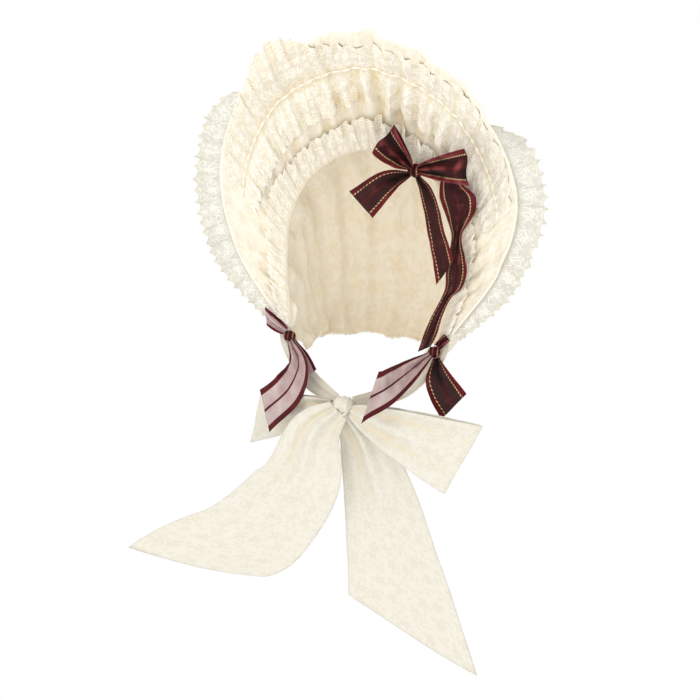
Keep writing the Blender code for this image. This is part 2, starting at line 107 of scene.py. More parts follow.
def scattered(add, cloth, spacing, uneven, turns):  # places in cells of the cloth, each turned
    cell = add(
        "TexVoronoi", {"Vector": cloth, "Scale": 1 / spacing, "Randomness": uneven},
        out="Position", voronoi_dimensions="2D",
    )
    turn = add("Math", {0: cell.node.outputs["Color"], 1: turns}, operation="MULTIPLY")
    local = add("VectorMath", {0: cloth, 1: cell}, operation="SUBTRACT")
    return add("VectorRotate", {"Vector": local, "Angle": turn}, rotation_type="Z_AXIS")


def flowers(add, cloth, spacing, petals, radius):
    turned = scattered(add, cloth, spacing, 0.6, 6.28)
    x = add("SeparateXYZ", {0: turned})
    angle = add("Math", {0: x.node.outputs["Y"], 1: x}, operation="ARCTAN2")
    lobes = add("Math", {0: angle, 1: petals}, operation="MULTIPLY")
    petal = add("Math", {0: lobes}, operation="COSINE")
    tip = add(
        "MapRange",
        {"Value": petal, "From Min": -1.0, "To Min": 0.42 * radius, "To Max": radius},
    )
    distance = add("VectorMath", {0: turned}, out="Value", operation="LENGTH")
    share = add("Math", {0: distance, 1: tip}, operation="DIVIDE")
    shape = add(
        "MapRange",
        {"Value": share, "From Min": 0.85, "From Max": 1.05, "To Min": 1.0, "To Max": 0.0},
    )
    heart = add("MapRange", {"Value": share, "From Min": 0.16, "From Max": 0.24})
    return add("Math", {0: shape, 1: heart}, operation="MULTIPLY")


def leaves(add, cloth, spacing, length):
    shifted = add("VectorMath", {0: cloth, 1: (37.0, 91.0, 0.0)}, operation="ADD")
    turned = scattered(add, shifted, spacing, 0.85, 9.0)
    narrowed = add("VectorMath", {0: turned, 1: (1.0, 2.6, 1.0)}, operation="MULTIPLY")
    distance = add("VectorMath", {0: narrowed}, out="Value", operation="LENGTH")
    shape = add(
        "MapRange",
        {"Value": distance, "From Min": 0.45 * length, "From Max": 0.55 * length, "To Min": 1.0,
         "To Max": 0.0},
    )
    y = add("SeparateXYZ", {0: turned}, out="Y")
    fromVein = add("Math", {0: y}, operation="ABSOLUTE")
    vein = add(
        "MapRange", {"Value": fromVein, "From Min": 0.02 * length, "From Max": 0.06 * length}
    )
    return add("Math", {0: shape, 1: vein}, operation="MULTIPLY")


def stems(add, cloth, spacing, width):
    wander = add("TexNoise", {"Vector": cloth, "Scale": 0.8 / spacing, "Detail": 0.5})
    level = add("Math", {0: wander, 1: 0.5}, operation="SUBTRACT")
    fromStem = add("Math", {0: level}, operation="ABSOLUTE")
    slope = 0.45 / spacing  # how fast this noise changes, for each millimetre
    return add(
        "MapRange",
        {"Value": fromStem, "From Min": width * slope / 2, "From Max": width * slope,
         "To Min": 1.0, "To Max": 0.0},
    )


# Cotton jacquard, woven: a matt ground with a slightly glossier tone-on-tone figure of flowers and
# leaves on winding stems. The eye gets a soft warm cream; the yellow in its folds is painted shade,
# taken from the fold attribute, with yellow patches laid at random besides.
cottonLook = {
    "plain": "#FAF3E4",
    "figure": "#F1E8D3",
    # painted shade: the yellow put into the folds
    "fold": "#F7E3B8",
    "threadSpacing": 1.1,  # the real one is 0.3, too fine to show, so it is drawn coarser
    "flower": (27.0, 5.0, 8.0),  # spacing, petals and radius
    "leaf": (9.0, 9.5),  # spacing and length
    "figureShown": 0.8,
    "mottle": 0.38,  # yellow patches at random over the cloth, added to the painted fold shade
    "roughness": 0.82,
}
# the tie's cloth, whose fold colour is painted shade too
tieLook = {
    **cottonLook, "plain": "#E1DCCF", "figure": "#D9D3C3", "fold": "#E0CFA9", "mottle": 0.1,
    "flower": (20.0, 5.0, 6.0), "leaf": (7.0, 7.0), "figureShown": 0.9,
}


def jacquardCotton(name, look):
    material, add = startMaterial(name)
    cloth = add("UVMap", uv_map="cloth")
    fold = add("Attribute", attribute_name="fold", out="Fac")
    figure = add(
        "Math",
        {0: flowers(add, cloth, *look["flower"]), 1: leaves(add, cloth, *look["leaf"])},
        operation="MAXIMUM",
    )
    shown = add("Math", {0: figure, 1: look["figureShown"]}, operation="MULTIPLY")
    patches = add("TexNoise", {"Vector": cloth, "Scale": 0.065, "Detail": 3.0})
    uneven = add(
        "MapRange",
        {"Value": patches, "From Min": 0.42, "From Max": 0.75, "To Max": look["mottle"]},
    )
    ground = add(
        "Mix", {0: shown, 6: linear(look["plain"]), 7: linear(look["figure"])},
        out=2, data_type="RGBA",
    )
    # painted shade: the fold attribute, with the random yellow patches added, turns the cloth yellow
    shadeAndMottle = add("Math", {0: fold, 1: uneven}, operation="ADD", use_clamp=True)
    colour = add("Mix", {0: shadeAndMottle, 6: ground, 7: linear(look["fold"])}, out=2, data_type="RGBA")
    parts = add("SeparateXYZ", {0: cloth})
    threads = []
    for way in (parts, parts.node.outputs["Y"]):
        beat = add("Math", {0: way, 1: 2 * math.pi / look["threadSpacing"]}, operation="MULTIPLY")
        threads.append(add("Math", {0: beat}, operation="SINE"))
    weave = add("Math", {0: threads[0], 1: threads[1]}, operation="MULTIPLY")
    slub = add("TexNoise", {"Vector": cloth, "Scale": 0.35, "Detail": 4.0})
    raised = add("Math", {0: shown, 1: 1.6, 2: weave}, operation="MULTIPLY_ADD")
    height = add("Math", {0: slub, 1: 1.6, 2: raised}, operation="MULTIPLY_ADD")
    bump = add("Bump", {"Strength": 0.3, "Distance": 0.0004, "Height": height})
    rough = add(
        "MapRange",
        {"Value": shown, "To Min": look["roughness"], "To Max": look["roughness"] - 0.25},
    )
    shader = add(
        "BsdfPrincipled",
        {"Base Color": colour, "Roughness": rough, "Normal": bump, "IOR": 1.47,
         "Sheen Weight": 0.12, "Sheen Roughness": 0.45},
    )
    add("OutputMaterial", {"Surface": shader})
    return material


# Cotton net lace, machine embroidered: fine mesh that lets the cloth behind through, with flowers
# and leaves worked on it. The eye gets an ivory veil with soft whiter shapes.
netLook = {
    "net": "#F2EAD9",
    "sprig": "#F9F3E5",
    # painted shade in the ruffles and by the stitches
    "fold": "#E6D5AC",
    "mesh": 2.3,  # the real one is 1.0, drawn coarser
    "threadShare": 0.42,
    "thread": 0.94,  # opacity of its threads
    "veil": 0.85,  # opacity of the mesh's openings, for the threads that are too fine to draw
    "plainTo": -99.0,  # the net has no figure nearer to its stitches than this
    "flower": (15.0, 5.0, 5.2),
    "leaf": (8.0, 6.5),
    "stem": (13.0, 0.7),
}
openNetLook = {  # with no cloth behind it the same lace is painted greyer, as the shade its threads are in
    **netLook, "net": "#D6D4C8", "sprig": "#ECE8DB", "fold": "#B9B29F", "veil": 0.76,
    "plainTo": 15.0, "flower": (11.0, 5.0, 4.2), "leaf": (6.5, 5.2), "stem": (9.0, 0.6),
}


def laceNet(name, look):
    material, add = startMaterial(name)
    cloth = add("UVMap", uv_map="cloth")
    fold = add("Attribute", attribute_name="fold", out="Fac")
    parts = add("SeparateXYZ", {0: cloth})
    across = parts.node.outputs["Y"]
    turn = math.pi / look["mesh"]
    threads = []
    for way in ("ADD", "SUBTRACT"):
        diagonal = add("Math", {0: parts, 1: across}, operation=way)
        turned = add("Math", {0: diagonal, 1: turn}, operation="MULTIPLY")
        wave = add("Math", {0: turned}, operation="SINE")
        threads.append(add("Math", {0: wave}, operation="ABSOLUTE"))
    nearest = add("Math", {0: threads[0], 1: threads[1]}, operation="MINIMUM")
    thread = add(
        "MapRange",
        {"Value": nearest, "From Min": look["threadShare"] * 0.6,
         "From Max": look["threadShare"] * 1.4, "To Min": look["thread"], "To Max": look["veil"]},
    )
    foliage = add(
        "Math",
        {0: leaves(add, cloth, *look["leaf"]), 1: stems(add, cloth, *look["stem"])},
        operation="MAXIMUM",
    )
    sprig = add("Math", {0: flowers(add, cloth, *look["flower"]), 1: foliage}, operation="MAXIMUM")
    far = add(
        "MapRange",
        {"Value": across, "From Min": look["plainTo"], "From Max": look["plainTo"] + 5.0},
    )
    sprig = add("Math", {0: sprig, 1: far}, operation="MULTIPLY")
    alpha = add("Math", {0: sprig, 1: thread}, operation="MAXIMUM")
    ground = add(
        "Mix", {0: sprig, 6: linear(look["net"]), 7: linear(look["sprig"])},
        out=2, data_type="RGBA",
    )
    # painted shade, where the fold attribute asks for it
    colour = add("Mix", {0: fold, 6: ground, 7: linear(look["fold"])}, out=2, data_type="RGBA")
    bump = add("Bump", {"Strength": 0.2, "Distance": 0.0003, "Height": sprig})
    shader = add(
        "BsdfPrincipled",
        {"Base Color": colour, "Alpha": alpha, "Roughness": 0.85, "Normal": bump,
         "IOR": 1.47, "Sheen Weight": 0.1, "Sheen Roughness": 0.5},
    )
    add("OutputMaterial", {"Surface": shader})
    return material


# Twisted cotton cord, laid on the lace: a thin matt off-white line with a painted highlight on its turns
def cottonCord(name, shade, light):
    material, add = startMaterial(name)
    place = add("TexCoord", out="Object")
    twist = add("TexWave", {"Vector": place, "Scale": 260.0, "Distortion": 1.5}, out="Fac")
    colour = add("Mix", {0: twist, 6: linear(shade), 7: linear(light)}, out=2, data_type="RGBA")
    bump = add("Bump", {"Strength": 0.4, "Distance": 0.0003, "Height": twist})
    shader = add(
        "BsdfPrincipled",
        {"Base Color": colour, "Roughness": 0.8, "Normal": bump, "IOR": 1.47},
    )
    add("OutputMaterial", {"Surface": shader})
    return material


# Polyester organza ribbon with woven satin stripes: sheer between a glossy stripe on each edge and
# a narrow one down the middle. On the face a row of slanted gold stitches runs inside each edge
# stripe. The eye gets dark plum; its rose where it bends forward is painted highlight and its near
# black in a crease painted shade, both taken from the fold attribute.
ribbonLook = {
    "width": 37.0,
    "edgeStripe": 5.2,
    "middleStripe": 2.2,
    "middleShown": 0.45,
    "satin": ("#5E1018", "#93404A"),  # the stripes, plain and with painted highlight where they bend forward
    # the sheer, plain and with painted highlight where it bends forward
    "sheer": ("#340A0D", "#89403B"),
    # painted shade in a crease
    "crease": "#0F0303",
    "paintedHighlight": (0.5, 1.0),  # the bends where the painted highlight comes in
    "paintedCreaseShade": (0.0, 0.4),  # and where the painted crease shade goes
    "opacity": 0.97,
    "gold": "#DDC08C",
    "goldLine": 1.3,
    "goldBeat": 3.6,  # one gold stitch and its space, drawn coarser than the real 2 mm
    "goldSlant": 0.9,
    "goldMetal": 0.2,
    "ribs": 1.3,  # the real ones are 0.3, drawn coarser
}
reverseLook = {  # the gold doesn't show through
    **ribbonLook, "middleShown": 1.0, "satin": ("#461018", "#5E1018"),
    # on the reverse the painted crease shade takes the stripes' maroon
    "sheer": ("#CFB0AD", "#EBDAD6"), "crease": "#461018", "paintedHighlight": (0.2, 0.65),
    "paintedCreaseShade": (-0.25, 0.15), "opacity": 0.66, "gold": None,
}


def organzaRibbon(name, look):
    material, add = startMaterial(name)
    cloth = add("UVMap", uv_map="cloth")
    bend = add("Attribute", attribute_name="fold", out="Fac")  # painted light: 0 shade in a crease, 1 highlight on a crest
    parts = add("SeparateXYZ", {0: cloth})
    along = parts.node.outputs["Y"]
    centred = add("Math", {0: parts, 1: 0.5}, operation="SUBTRACT")
    offset = add("Math", {0: centred}, operation="ABSOLUTE")
    fromMiddle = add("Math", {0: offset, 1: look["width"]}, operation="MULTIPLY")
    edgeFrom = look["width"] / 2 - look["edgeStripe"]
    edge = add("Math", {0: fromMiddle, 1: edgeFrom}, operation="GREATER_THAN")
    middle = add("Math", {0: fromMiddle, 1: look["middleStripe"] / 2}, operation="LESS_THAN")
    stripe = add("Math", {0: middle, 1: look["middleShown"]}, operation="MULTIPLY")
    satin = add("Math", {0: edge, 1: stripe}, operation="MAXIMUM")
    even = add("VectorMath", {0: cloth, 1: (look["width"], 1.0, 1.0)}, operation="MULTIPLY")
    patches = add("TexNoise", {"Vector": even, "Scale": 0.07, "Detail": 2.0})
    uneven = add(
        "MapRange",
        {"Value": patches, "From Min": 0.3, "From Max": 0.7, "To Min": -0.2, "To Max": 0.2},
    )
    # painted sheen: the fold attribute's highlights and shade, with random patches
    sheen = add("Math", {0: bend, 1: uneven}, operation="ADD")
    low, high = look["paintedHighlight"]
    paintedHighlight = add("MapRange", {"Value": sheen, "From Min": low, "From Max": high})
    low, high = look["paintedCreaseShade"]
    paintedCreaseShade = add(
        "MapRange",
        {"Value": sheen, "From Min": low, "From Max": high, "To Min": 0.85, "To Max": 0.0},
    )
    sheerTone, satinTone = (
        add("Mix", {0: paintedHighlight, 6: linear(plain), 7: linear(light)}, out=2, data_type="RGBA")
        for plain, light in (look["sheer"], look["satin"])
    )
    colour = add("Mix", {0: satin, 6: sheerTone, 7: satinTone}, out=2, data_type="RGBA")
    # on the reverse, where the painted crease shade lies, the sheer is also made more opaque
    metal, denser = 0.0, paintedCreaseShade
    if look["gold"]:
        denser = add(
            "Math", {0: fromMiddle, 1: edgeFrom - look["goldLine"]}, operation="GREATER_THAN"
        )
        goldBand = add("Math", {0: denser, 1: edge}, operation="SUBTRACT")
        slanted = add(
            "Math", {0: fromMiddle, 1: look["goldSlant"], 2: along}, operation="MULTIPLY_ADD"
        )
        beat = add("Math", {0: slanted, 1: 2 * math.pi / look["goldBeat"]}, operation="MULTIPLY")
        stitch = add("Math", {0: beat}, operation="SINE")
        fleck = add(
            "MapRange", {"Value": stitch, "From Min": -0.5, "From Max": 0.3, "To Min": 0.05}
        )
        gold = add("Math", {0: goldBand, 1: fleck}, operation="MULTIPLY")
        colour = add("Mix", {0: gold, 6: colour, 7: linear(look["gold"])}, out=2, data_type="RGBA")
        metal = add("Math", {0: gold, 1: look["goldMetal"]}, operation="MULTIPLY")
    # painted shade in the creases
    withCreaseShade = add(
        "Mix", {0: paintedCreaseShade, 6: colour, 7: linear(look["crease"])}, out=2, data_type="RGBA"
    )
    solid = add("Math", {0: satin, 1: denser}, operation="MAXIMUM")
    opacity = add("MapRange", {"Value": solid, "To Min": look["opacity"], "To Max": 1.0})
    rough = add("MapRange", {"Value": satin, "To Min": 0.6, "To Max": 0.36})
    rib = add("Math", {0: along, 1: 2 * math.pi / look["ribs"]}, operation="MULTIPLY")
    ribs = add("Math", {0: rib}, operation="SINE")
    bump = add("Bump", {"Strength": 0.1, "Distance": 0.0002, "Height": ribs})
    shader = add(
        "BsdfPrincipled",
        {"Base Color": withCreaseShade, "Alpha": opacity, "Metallic": metal, "Roughness": rough,
         "Normal": bump, "IOR": 1.42, "Specular IOR Level": 0.2},
    )
    add("OutputMaterial", {"Surface": shader})
    return material


# Matt studio paper: an even off-white with a faint tooth
def studioPaper():
    material, add = startMaterial("studioPaper")
    tooth = add("TexNoise", {"Scale": 400.0, "Detail": 2.0})
    colour = add(
        "Mix", {0: tooth, 6: linear("#FFFFFF"), 7: linear("#FCFCFB")},
        out=2, data_type="RGBA",
    )
    shader = add("BsdfPrincipled", {"Base Color": colour, "Roughness": 0.9})
    add("OutputMaterial", {"Surface": shader})
    return material


brimCotton = jacquardCotton("brimCotton", cottonLook)
tieCotton = jacquardCotton("tieCotton", tieLook)
fineNet = laceNet("fineNet", netLook)
openNet = laceNet("openNet", openNetLook)
laceCord = cottonCord("laceCord", "#F8F3E6", "#FFFDF6")
edgeCord = cottonCord("edgeCord", "#D9D4C4", "#EFEADC")  # painted greyer, as shade, where it stands against the white behind it
ribbonFace = organzaRibbon("ribbonFace", ribbonLook)
ribbonReverse = organzaRibbon("ribbonReverse", reverseLook)
print("materials made")


# Makers of cloth and cord. A cloth's rows hold a point, its place on the cloth and the painted
# light and shade of its folds.

def makeCloth(name, rows, material, wall=0, reverse=None, ring=False):
    across, count = len(rows[0]), len(rows)
    faces = []
    for i in range(count if ring else count - 1):
        below = ((i + 1) % count) * across
        for j in range(across - 1):
            a = i * across + j
            faces.append((a, a + 1, below + j + 1, below + j))
    points, places, foldShades = zip(*(stitch for row in rows for stitch in row))
    mesh = bpy.data.meshes.new(name)
    mesh.from_pydata([point * mm for point in points], [], faces)
    layer = mesh.uv_layers.new(name="cloth")
    for loop in mesh.loops:
        layer.data[loop.index].uv = places[loop.vertex_index]
    # the fold attribute holds painted light: shade in creases, and on ribbon highlight where it bends
    # forward
    shade = mesh.attributes.new("fold", "FLOAT", "POINT")
    shade.data.foreach_set("value", list(foldShades))
    mesh.shade_smooth()
    mesh.materials.append(material)
    piece = bpy.data.objects.new(name, mesh)
    bpy.context.scene.collection.objects.link(piece)
    if wall:
        solid = piece.modifiers.new("wall", "SOLIDIFY")
        solid.thickness = wall * mm
        solid.offset = 0
        if reverse:
            mesh.materials.append(reverse)
            solid.material_offset = 1
    return piece


def makeCords(name, lines, radius, material, radii=None):
    curve = bpy.data.curves.new(name, "CURVE")
    curve.dimensions = "3D"
    curve.bevel_depth = radius * mm
    curve.bevel_resolution = 1
    curve.use_fill_caps = True
    for n, line in enumerate(lines):
        spline = curve.splines.new("POLY")
        spline.points.add(len(line) - 1)
        for k, (knot, point) in enumerate(zip(spline.points, line)):
            knot.co = (*(point * mm), 1)
            if radii:
                knot.radius = radii[n][k]
    curve.materials.append(material)
    piece = bpy.data.objects.new(name, curve)
    bpy.context.scene.collection.objects.link(piece)
    return piece


def nodeOf(name):  # the solid of a piece: topBowKnot stands for top_bow_knot
    return "".join("_" + letter.lower() if letter.isupper() else letter for letter in name)


def settle(piece, slot, *nodes):  # every piece rides on the one body, and the solids it stands for are hidden
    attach(piece, "root")
    if nodes:
        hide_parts(*nodes)


# The brim's shape, which the frills and the crown also follow. A side runs from -1 to 1 along it,
# and a reach from 0 at the seam to 1 at the rim. Pairs with no note are a spacing and a height.

brim = {
    "seamAndRim": (  # half of it, from the top centre down to its lower end
        ((0, 0, 0), (0, -96, 121)),
        ((38, 0, -9), (56, -90, 106)),
        ((69, -2, -34), (104, -79, 73)),
        ((86, -4, -72), (139, -57, 16)),
        ((88, -6, -110), (152, -35, -45)),
        ((84, -9, -150), (133, -27, -113)),
        ((77, -14, -187), (92, -18, -175)),
    ),
    "dish": 7.0,
    "gathers": 28,
    "gatherDepth": ((0, 0), (0.12, 0), (0.3, 3.0), (0.5, 3.4), (0.68, 1.0), (0.9, 2.2), (1, 1.2)),
    "gatherLine": 0.6,  # the reach along which the gathers are counted
    "drift": ((1.1, 42), (1.2, 15)),  # radians by which they wander, and over what size
    "fullGatherWidth": 50,
    "topPleatGain": 0.75,
    "topPleatSpread": 0.17,
    "outerFlatten": 0.35,  # how much flatter the gathers are beyond the middle frill's stitches
    "outer": (0.6, 0.8),  # the reach over which they flatten
    "sides": (0.25, 0.55),  # from the top's gathers to the flatter ones at the sides
    "sideFlatten": 0.55,
    "shirring": (8.6, 0.5),  # the fine gathers by the edge
    "edge": (0.72, 0.9),  # the reach where they begin
    "blister": (11, 0.8),
    "puff": (17, 1.8),
    "smallPleats": (8.5, 0.5),  # they come and go over the brim
    "topFolds": (  # place along the brim, height and half width of single folds by the edge
        (-0.28, 2.5, 9), (-0.2, -2.5, 8), (-0.13, 3.5, 8), (-0.075, -4.0, 6), (-0.03, 4.5, 7),
        (0.03, -3.0, 7), (0.1, 3.0, 10), (0.17, -2.0, 8), (0.25, 2.5, 10), (0.33, -2.0, 9),
        (0.42, 2.5, 10),
    ),
    "topFoldsFrom": 0.66,
    "shade": 0.55,  # how strong the painted yellow shade is in the deepest fold
    "flat": (0.155, 0.9),  # the cut cloth, in metres
    "clothRun": (0.75, 1.5),  # the reach where the cloth's own run is taken, and its fullness
    "stations": 84,  # of the solid, three to a gather
    "wall": 2.4,
    "samplesPerGather": 18,
    "rowsAcross": 44,
    "piping": 1.3,
}


def bothHalves(points):
    return [Vector((-p[0], p[1], p[2])) for p in points[:0:-1]] + [Vector(p) for p in points]


seamLine = bothHalves([row[0] for row in brim["seamAndRim"]])
rimLine = bothHalves([row[1] for row in brim["seamAndRim"]])
halfRows = len(brim["seamAndRim"]) - 1
facingSteps = 8
runSteps = 400


def stepIn(values, place):  # a value of a list, straight between its steps
    i = min(int(place), len(values) - 2)
    return values[i] + (values[i + 1] - values[i]) * (place - i)


def shareAt(shares, side):
    return stepIn(shares, abs(side) * halfRows)


@lru_cache(maxsize=None)
def section(side):  # everything about the brim at one place along it
    step = 0.01
    place = (side + 1) * halfRows
    ahead = (min(side + step, 1) + 1) * halfRows
    behind = (max(side - step, -1) + 1) * halfRows
    seam, rim = through(seamLine, place), through(rimLine, place)
    seamWay = through(seamLine, ahead) - through(seamLine, behind)
    rimWay = through(rimLine, ahead) - through(rimLine, behind)
    facings = [
        seamWay.lerp(rimWay, k / facingSteps).cross(rim - seam).normalized()
        for k in range(facingSteps + 1)
    ]
    return seam, rim, (rim - seam).length, facings, rimWay.normalized()


def facingAt(side, reach):
    facings = section(side)[3]
    place = min(max(reach, 0), 1) * facingSteps
    i = min(int(place), facingSteps - 1)
    return facings[i].lerp(facings[i + 1], place - i)


topWidth = section(0.0)[2]


def runLengths(line):  # how far along a line each of its places is
    total, found, last = 0, [], None
    for i in range(runSteps + 1):
        point = through(line, i / runSteps * 2 * halfRows)
        total += (point - last).length if last else 0
        found.append(total)
        last = point
    return found


rimRun, seamRun = runLengths(rimLine), runLengths(seamLine)


def runAt(side, reach):
    place = (side + 1) * runSteps / 2
    seam, rim = stepIn(seamRun, place), stepIn(rimRun, place)
    return seam + (rim - seam) * reach


@lru_cache(maxsize=None)
def edgeFolds(side):  # height of the single folds by the rim
    line = brim["gatherLine"]
    total = 0
    for place, rise, spread in brim["topFolds"]:
        total += rise * math.exp(-(((runAt(side, line) - runAt(place, line)) / spread) ** 2))
    return total


def brimGather(side, reach):  # height of the gathers, and the painted shade of the fold the place lies in
    width = section(side)[2]
    run = runAt(side, brim["gatherLine"])
    away = reach * width
    narrow = min(1, width / brim["fullGatherWidth"]) ** 2
    top = math.exp(-((side / brim["topPleatSpread"]) ** 2))
    sides = ramp(abs(side), *brim["sides"])
    nearEdge = ramp(reach, *brim["edge"])

    depth = between(brim["gatherDepth"], reach) * (1 + brim["topPleatGain"] * top) * narrow
    depth *= 1 - brim["outerFlatten"] * ramp(reach, *brim["outer"])
    depth *= 1 - brim["sideFlatten"] * sides
    (far, farSize), (near, nearSize) = brim["drift"]
    phase = math.pi * brim["gathers"] * (side + 1) + far * wrinkle(run, reach * 40, 3.1, farSize)
    phase += near * wrinkle(run, away * 0.6, 6.6, nearSize)
    pleat = math.cos(phase)
    height = depth * pleat * (0.85 + 0.45 * wrinkle(run, reach * 30, 8.4, 30))

    spacing, shirr = brim["shirring"]
    edge = nearEdge * narrow * (1 - 0.7 * sides)
    fine = math.cos(2 * math.pi * runAt(side, 1) / spacing + 2.2 * wrinkle(run, 0, 5.5, 25))
    height += shirr * fine * edge
    if reach > brim["topFoldsFrom"]:
        height += edgeFolds(round(side, 6)) * ramp(reach, brim["topFoldsFrom"], 0.95)

    inside = ramp(reach, 0.05, 0.3) * narrow
    size, rise = brim["blister"]
    blister = wrinkle(run, away, 1.7, size) + 0.6 * (0.4 - 2 * abs(wrinkle(run, away, 4.2, 8)))
    puffSize, puffRise = brim["puff"]
    puff = wrinkle(run * 0.8, away, 12.3, puffSize)
    height += inside * (rise * blister + puffRise * sides * puff)

    spacing, rise = brim["smallPleats"]
    small = math.cos(2 * math.pi * run / spacing + 3.2 * wrinkle(run, away * 0.8, 2.9, 11))
    broken = ramp(wrinkle(run, away, 9.7, 14), -0.2, 0.45) * narrow * (1 - 0.75 * sides)
    height += rise * small * broken

    # painted shade in the valleys of the gathers, pleats and blisters, less of it by the rim
    valleyShade = ramp(-pleat, -0.4, 1.0) * min(depth / 3.2, 1.3) * (0.35 + 0.8 * broken)
    valleyShade += 0.08 * ramp(-fine, 0.1, 1) * edge + 0.2 * ramp(-small, 0, 1) * broken
    valleyShade += 0.3 * ramp(-blister, 0.0, 0.8) * inside
    return height, valleyShade * (1 - 0.6 * nearEdge)


def brimPoint(side, reach, lift=0.0):  # without its gathers, unless the lift brings them
    seam, rim, width = section(side)[:3]
    dish = brim["dish"] * math.sin(math.pi * min(max(reach, 0), 1)) * width / topWidth
    return seam.lerp(rim, reach) + facingAt(side, reach) * (lift - dish)


def makeBrim():
    count = brim["gathers"] * brim["samplesPerGather"]
    line, fullness = brim["clothRun"]
    rows = []
    for i in range(count + 1):
        side = 2 * i / count - 1
        run, width = runAt(side, line) * fullness, section(side)[2]
        row = []
        for j in range(brim["rowsAcross"] + 1):
            reach = j / brim["rowsAcross"]
            height, valleyShade = brimGather(side, reach)
            point = brimPoint(side, reach, height)
            row.append((point, (run, reach * width), brim["shade"] * valleyShade))
        rows.append(row)
    piece = makeCloth("brimCloth", rows, brimCotton, brim["wall"])
    settle(piece, "cream_jacquard", "brim")
    edge = [row[-1][0] for row in rows[::2]]
    settle(makeCords("brimPiping", [edge], brim["piping"], brimCotton), "cream_jacquard")


makeBrim()
print("brim made")


crown = {
    "pivotZ": -205,
    "middle": (0, 40, -110),
    "rows": (  # turn, reach, width, gather
        (12, 1.06, 1.00, 2.5),
        (30, 1.02, 1.02, 3.5),
        (50, 0.89, 1.01, 3.5),
        (66, 0.78, 0.96, 3.0),
        (80, 0.69, 0.88, 3.0),
        (89, 0.60, 0.80, 3.0),
        (93, 0.54, 0.76, 1.5),
    ),
    "gathers": 14,
    "fineGathers": (9, 0.9),  # spacing and height, near the two ends of the cloth
    "softFolds": (30, 4.5),  # size and height of the loose cloth's folds
    "smallFolds": (14, 1.6),
    "creases": (38, 3.5),
    "flat": (0.24, 0.56),
    "drop": 190,  # the cloth's length from the brim to its lower edge, for its soft folds
    "clothDrop": 250,  # the same with its gathers let out
    "shade": 0.3,
    "stations": 336,
    "rowsAcross": 60,
    "wall": 1.4,
    "ring": (0.05, -2.9),  # where it is sewn behind the brim: reach and height
}


def crownLine(side):  # from the brim over the top and down the back
    seam = section(side)[0]
    middle, pivot = Vector(crown["middle"]), crown["pivotZ"]
    wave = math.cos(math.pi * crown["gathers"] * (side + 1))
    line = [brimPoint(side, *crown["ring"])]
    for turn, reach, width, gather in crown["rows"]:
        angle, radius = math.radians(turn), (seam.z - pivot) * reach
        y, z = seam.y + radius * math.sin(angle), pivot + radius * math.cos(angle)
        point = Vector((seam.x * width, y, z))
        line.append(point + (point - middle).normalized() * gather * wave)
    return line


def makeCrown():
    middle = Vector(crown["middle"])
    spacing, rise = crown["fineGathers"]
    softSize, softRise = crown["softFolds"]
    smallSize, smallRise = crown["smallFolds"]
    creaseSize, creaseRise = crown["creases"]
    rows = []
    for i in range(crown["stations"] + 1):
        side = 2 * i / crown["stations"] - 1
        line, run = crownLine(side), runAt(side, 0)
        row = []
        for j in range(crown["rowsAcross"] + 1):
            share = j / crown["rowsAcross"]
            drop = share * crown["drop"]
            point = through(line, share * (len(line) - 1))
            ends = max(1 - share / 0.25, (share - 0.8) / 0.2, 0) * ramp(share, 0.0, 0.06)
            fine = math.cos(2 * math.pi * run / spacing + 3.5 * wrinkle(run, share * 50, 2.2, 14))
            soft = softRise * wrinkle(run, drop * 0.45, 6.1, softSize)
            soft += smallRise * wrinkle(run, drop, 2.6, smallSize)
            crease = abs(wrinkle(run + drop * 0.3, drop * 0.5, 4.7, creaseSize))
            soft += creaseRise * (0.35 - 2 * crease)
            push = rise * fine * ends + soft * ramp(share, 0, 0.1)
            point = point + (point - middle).normalized() * push
            # painted shade in the valleys of the fine gathers by its ends
            fold = crown["shade"] * ramp(-fine, 0, 1) * ends
            row.append((point, (run, share * crown["clothDrop"]), fold))
        rows.append(row)
    piece = makeCloth("crownCloth", rows, brimCotton, crown["wall"])
    settle(piece, "cream_jacquard", "crown")


makeCrown()
print("crown made")


# Lace. A frill's own run is longer than the brim's by its fullness, because it is gathered.

def scallop(run, size):  # 0 between two scallops and 1 at the middle of one
    return abs(math.sin(math.pi * run / size)) ** 0.6


def gatherPhase(side):  # one wave of a frill for every two stations of the brim
    return math.pi * (side + 1) * brim["stations"] / 2


outerLace = {
    "back": (0.88, 0.97),  # between these reaches it lies on the brim's back
    "behind": -3.4,
    "strips": (14, 13),  # the widths of its two free strips
    "share": (0.45, 0.45, 0.6, 1.0, 1.0, 0.9, 0.35),
    "turn": (168, 168, 158, 25, 0, 0, 0),  # degrees it has turned back, down the brim
    "later": 0.07,  # on the wearer's left it turns this much further down
    "curl": 0.8,
    "fullness": 1.25,
    "ruffle": 2.4,
    "clothWidth": 36,
    "flat": (0.042, 1.05),
    "past": 12.0,  # past its plain width it goes on by this much for each third of its width
    "pointSize": 12.0,
    "pointDepth": 6.0,
    "shade": 0.25,
    "rowsAcross": 22,
    "samplesPerStation": 9,
    "edgeCords": (0.65, 0.07),  # radius, and how far the second one lies in
    "zigzag": (0.42, 0.72, 5.2),  # from and to, as shares of the width, and its spacing
    "zigzagRadius": 0.6,
}


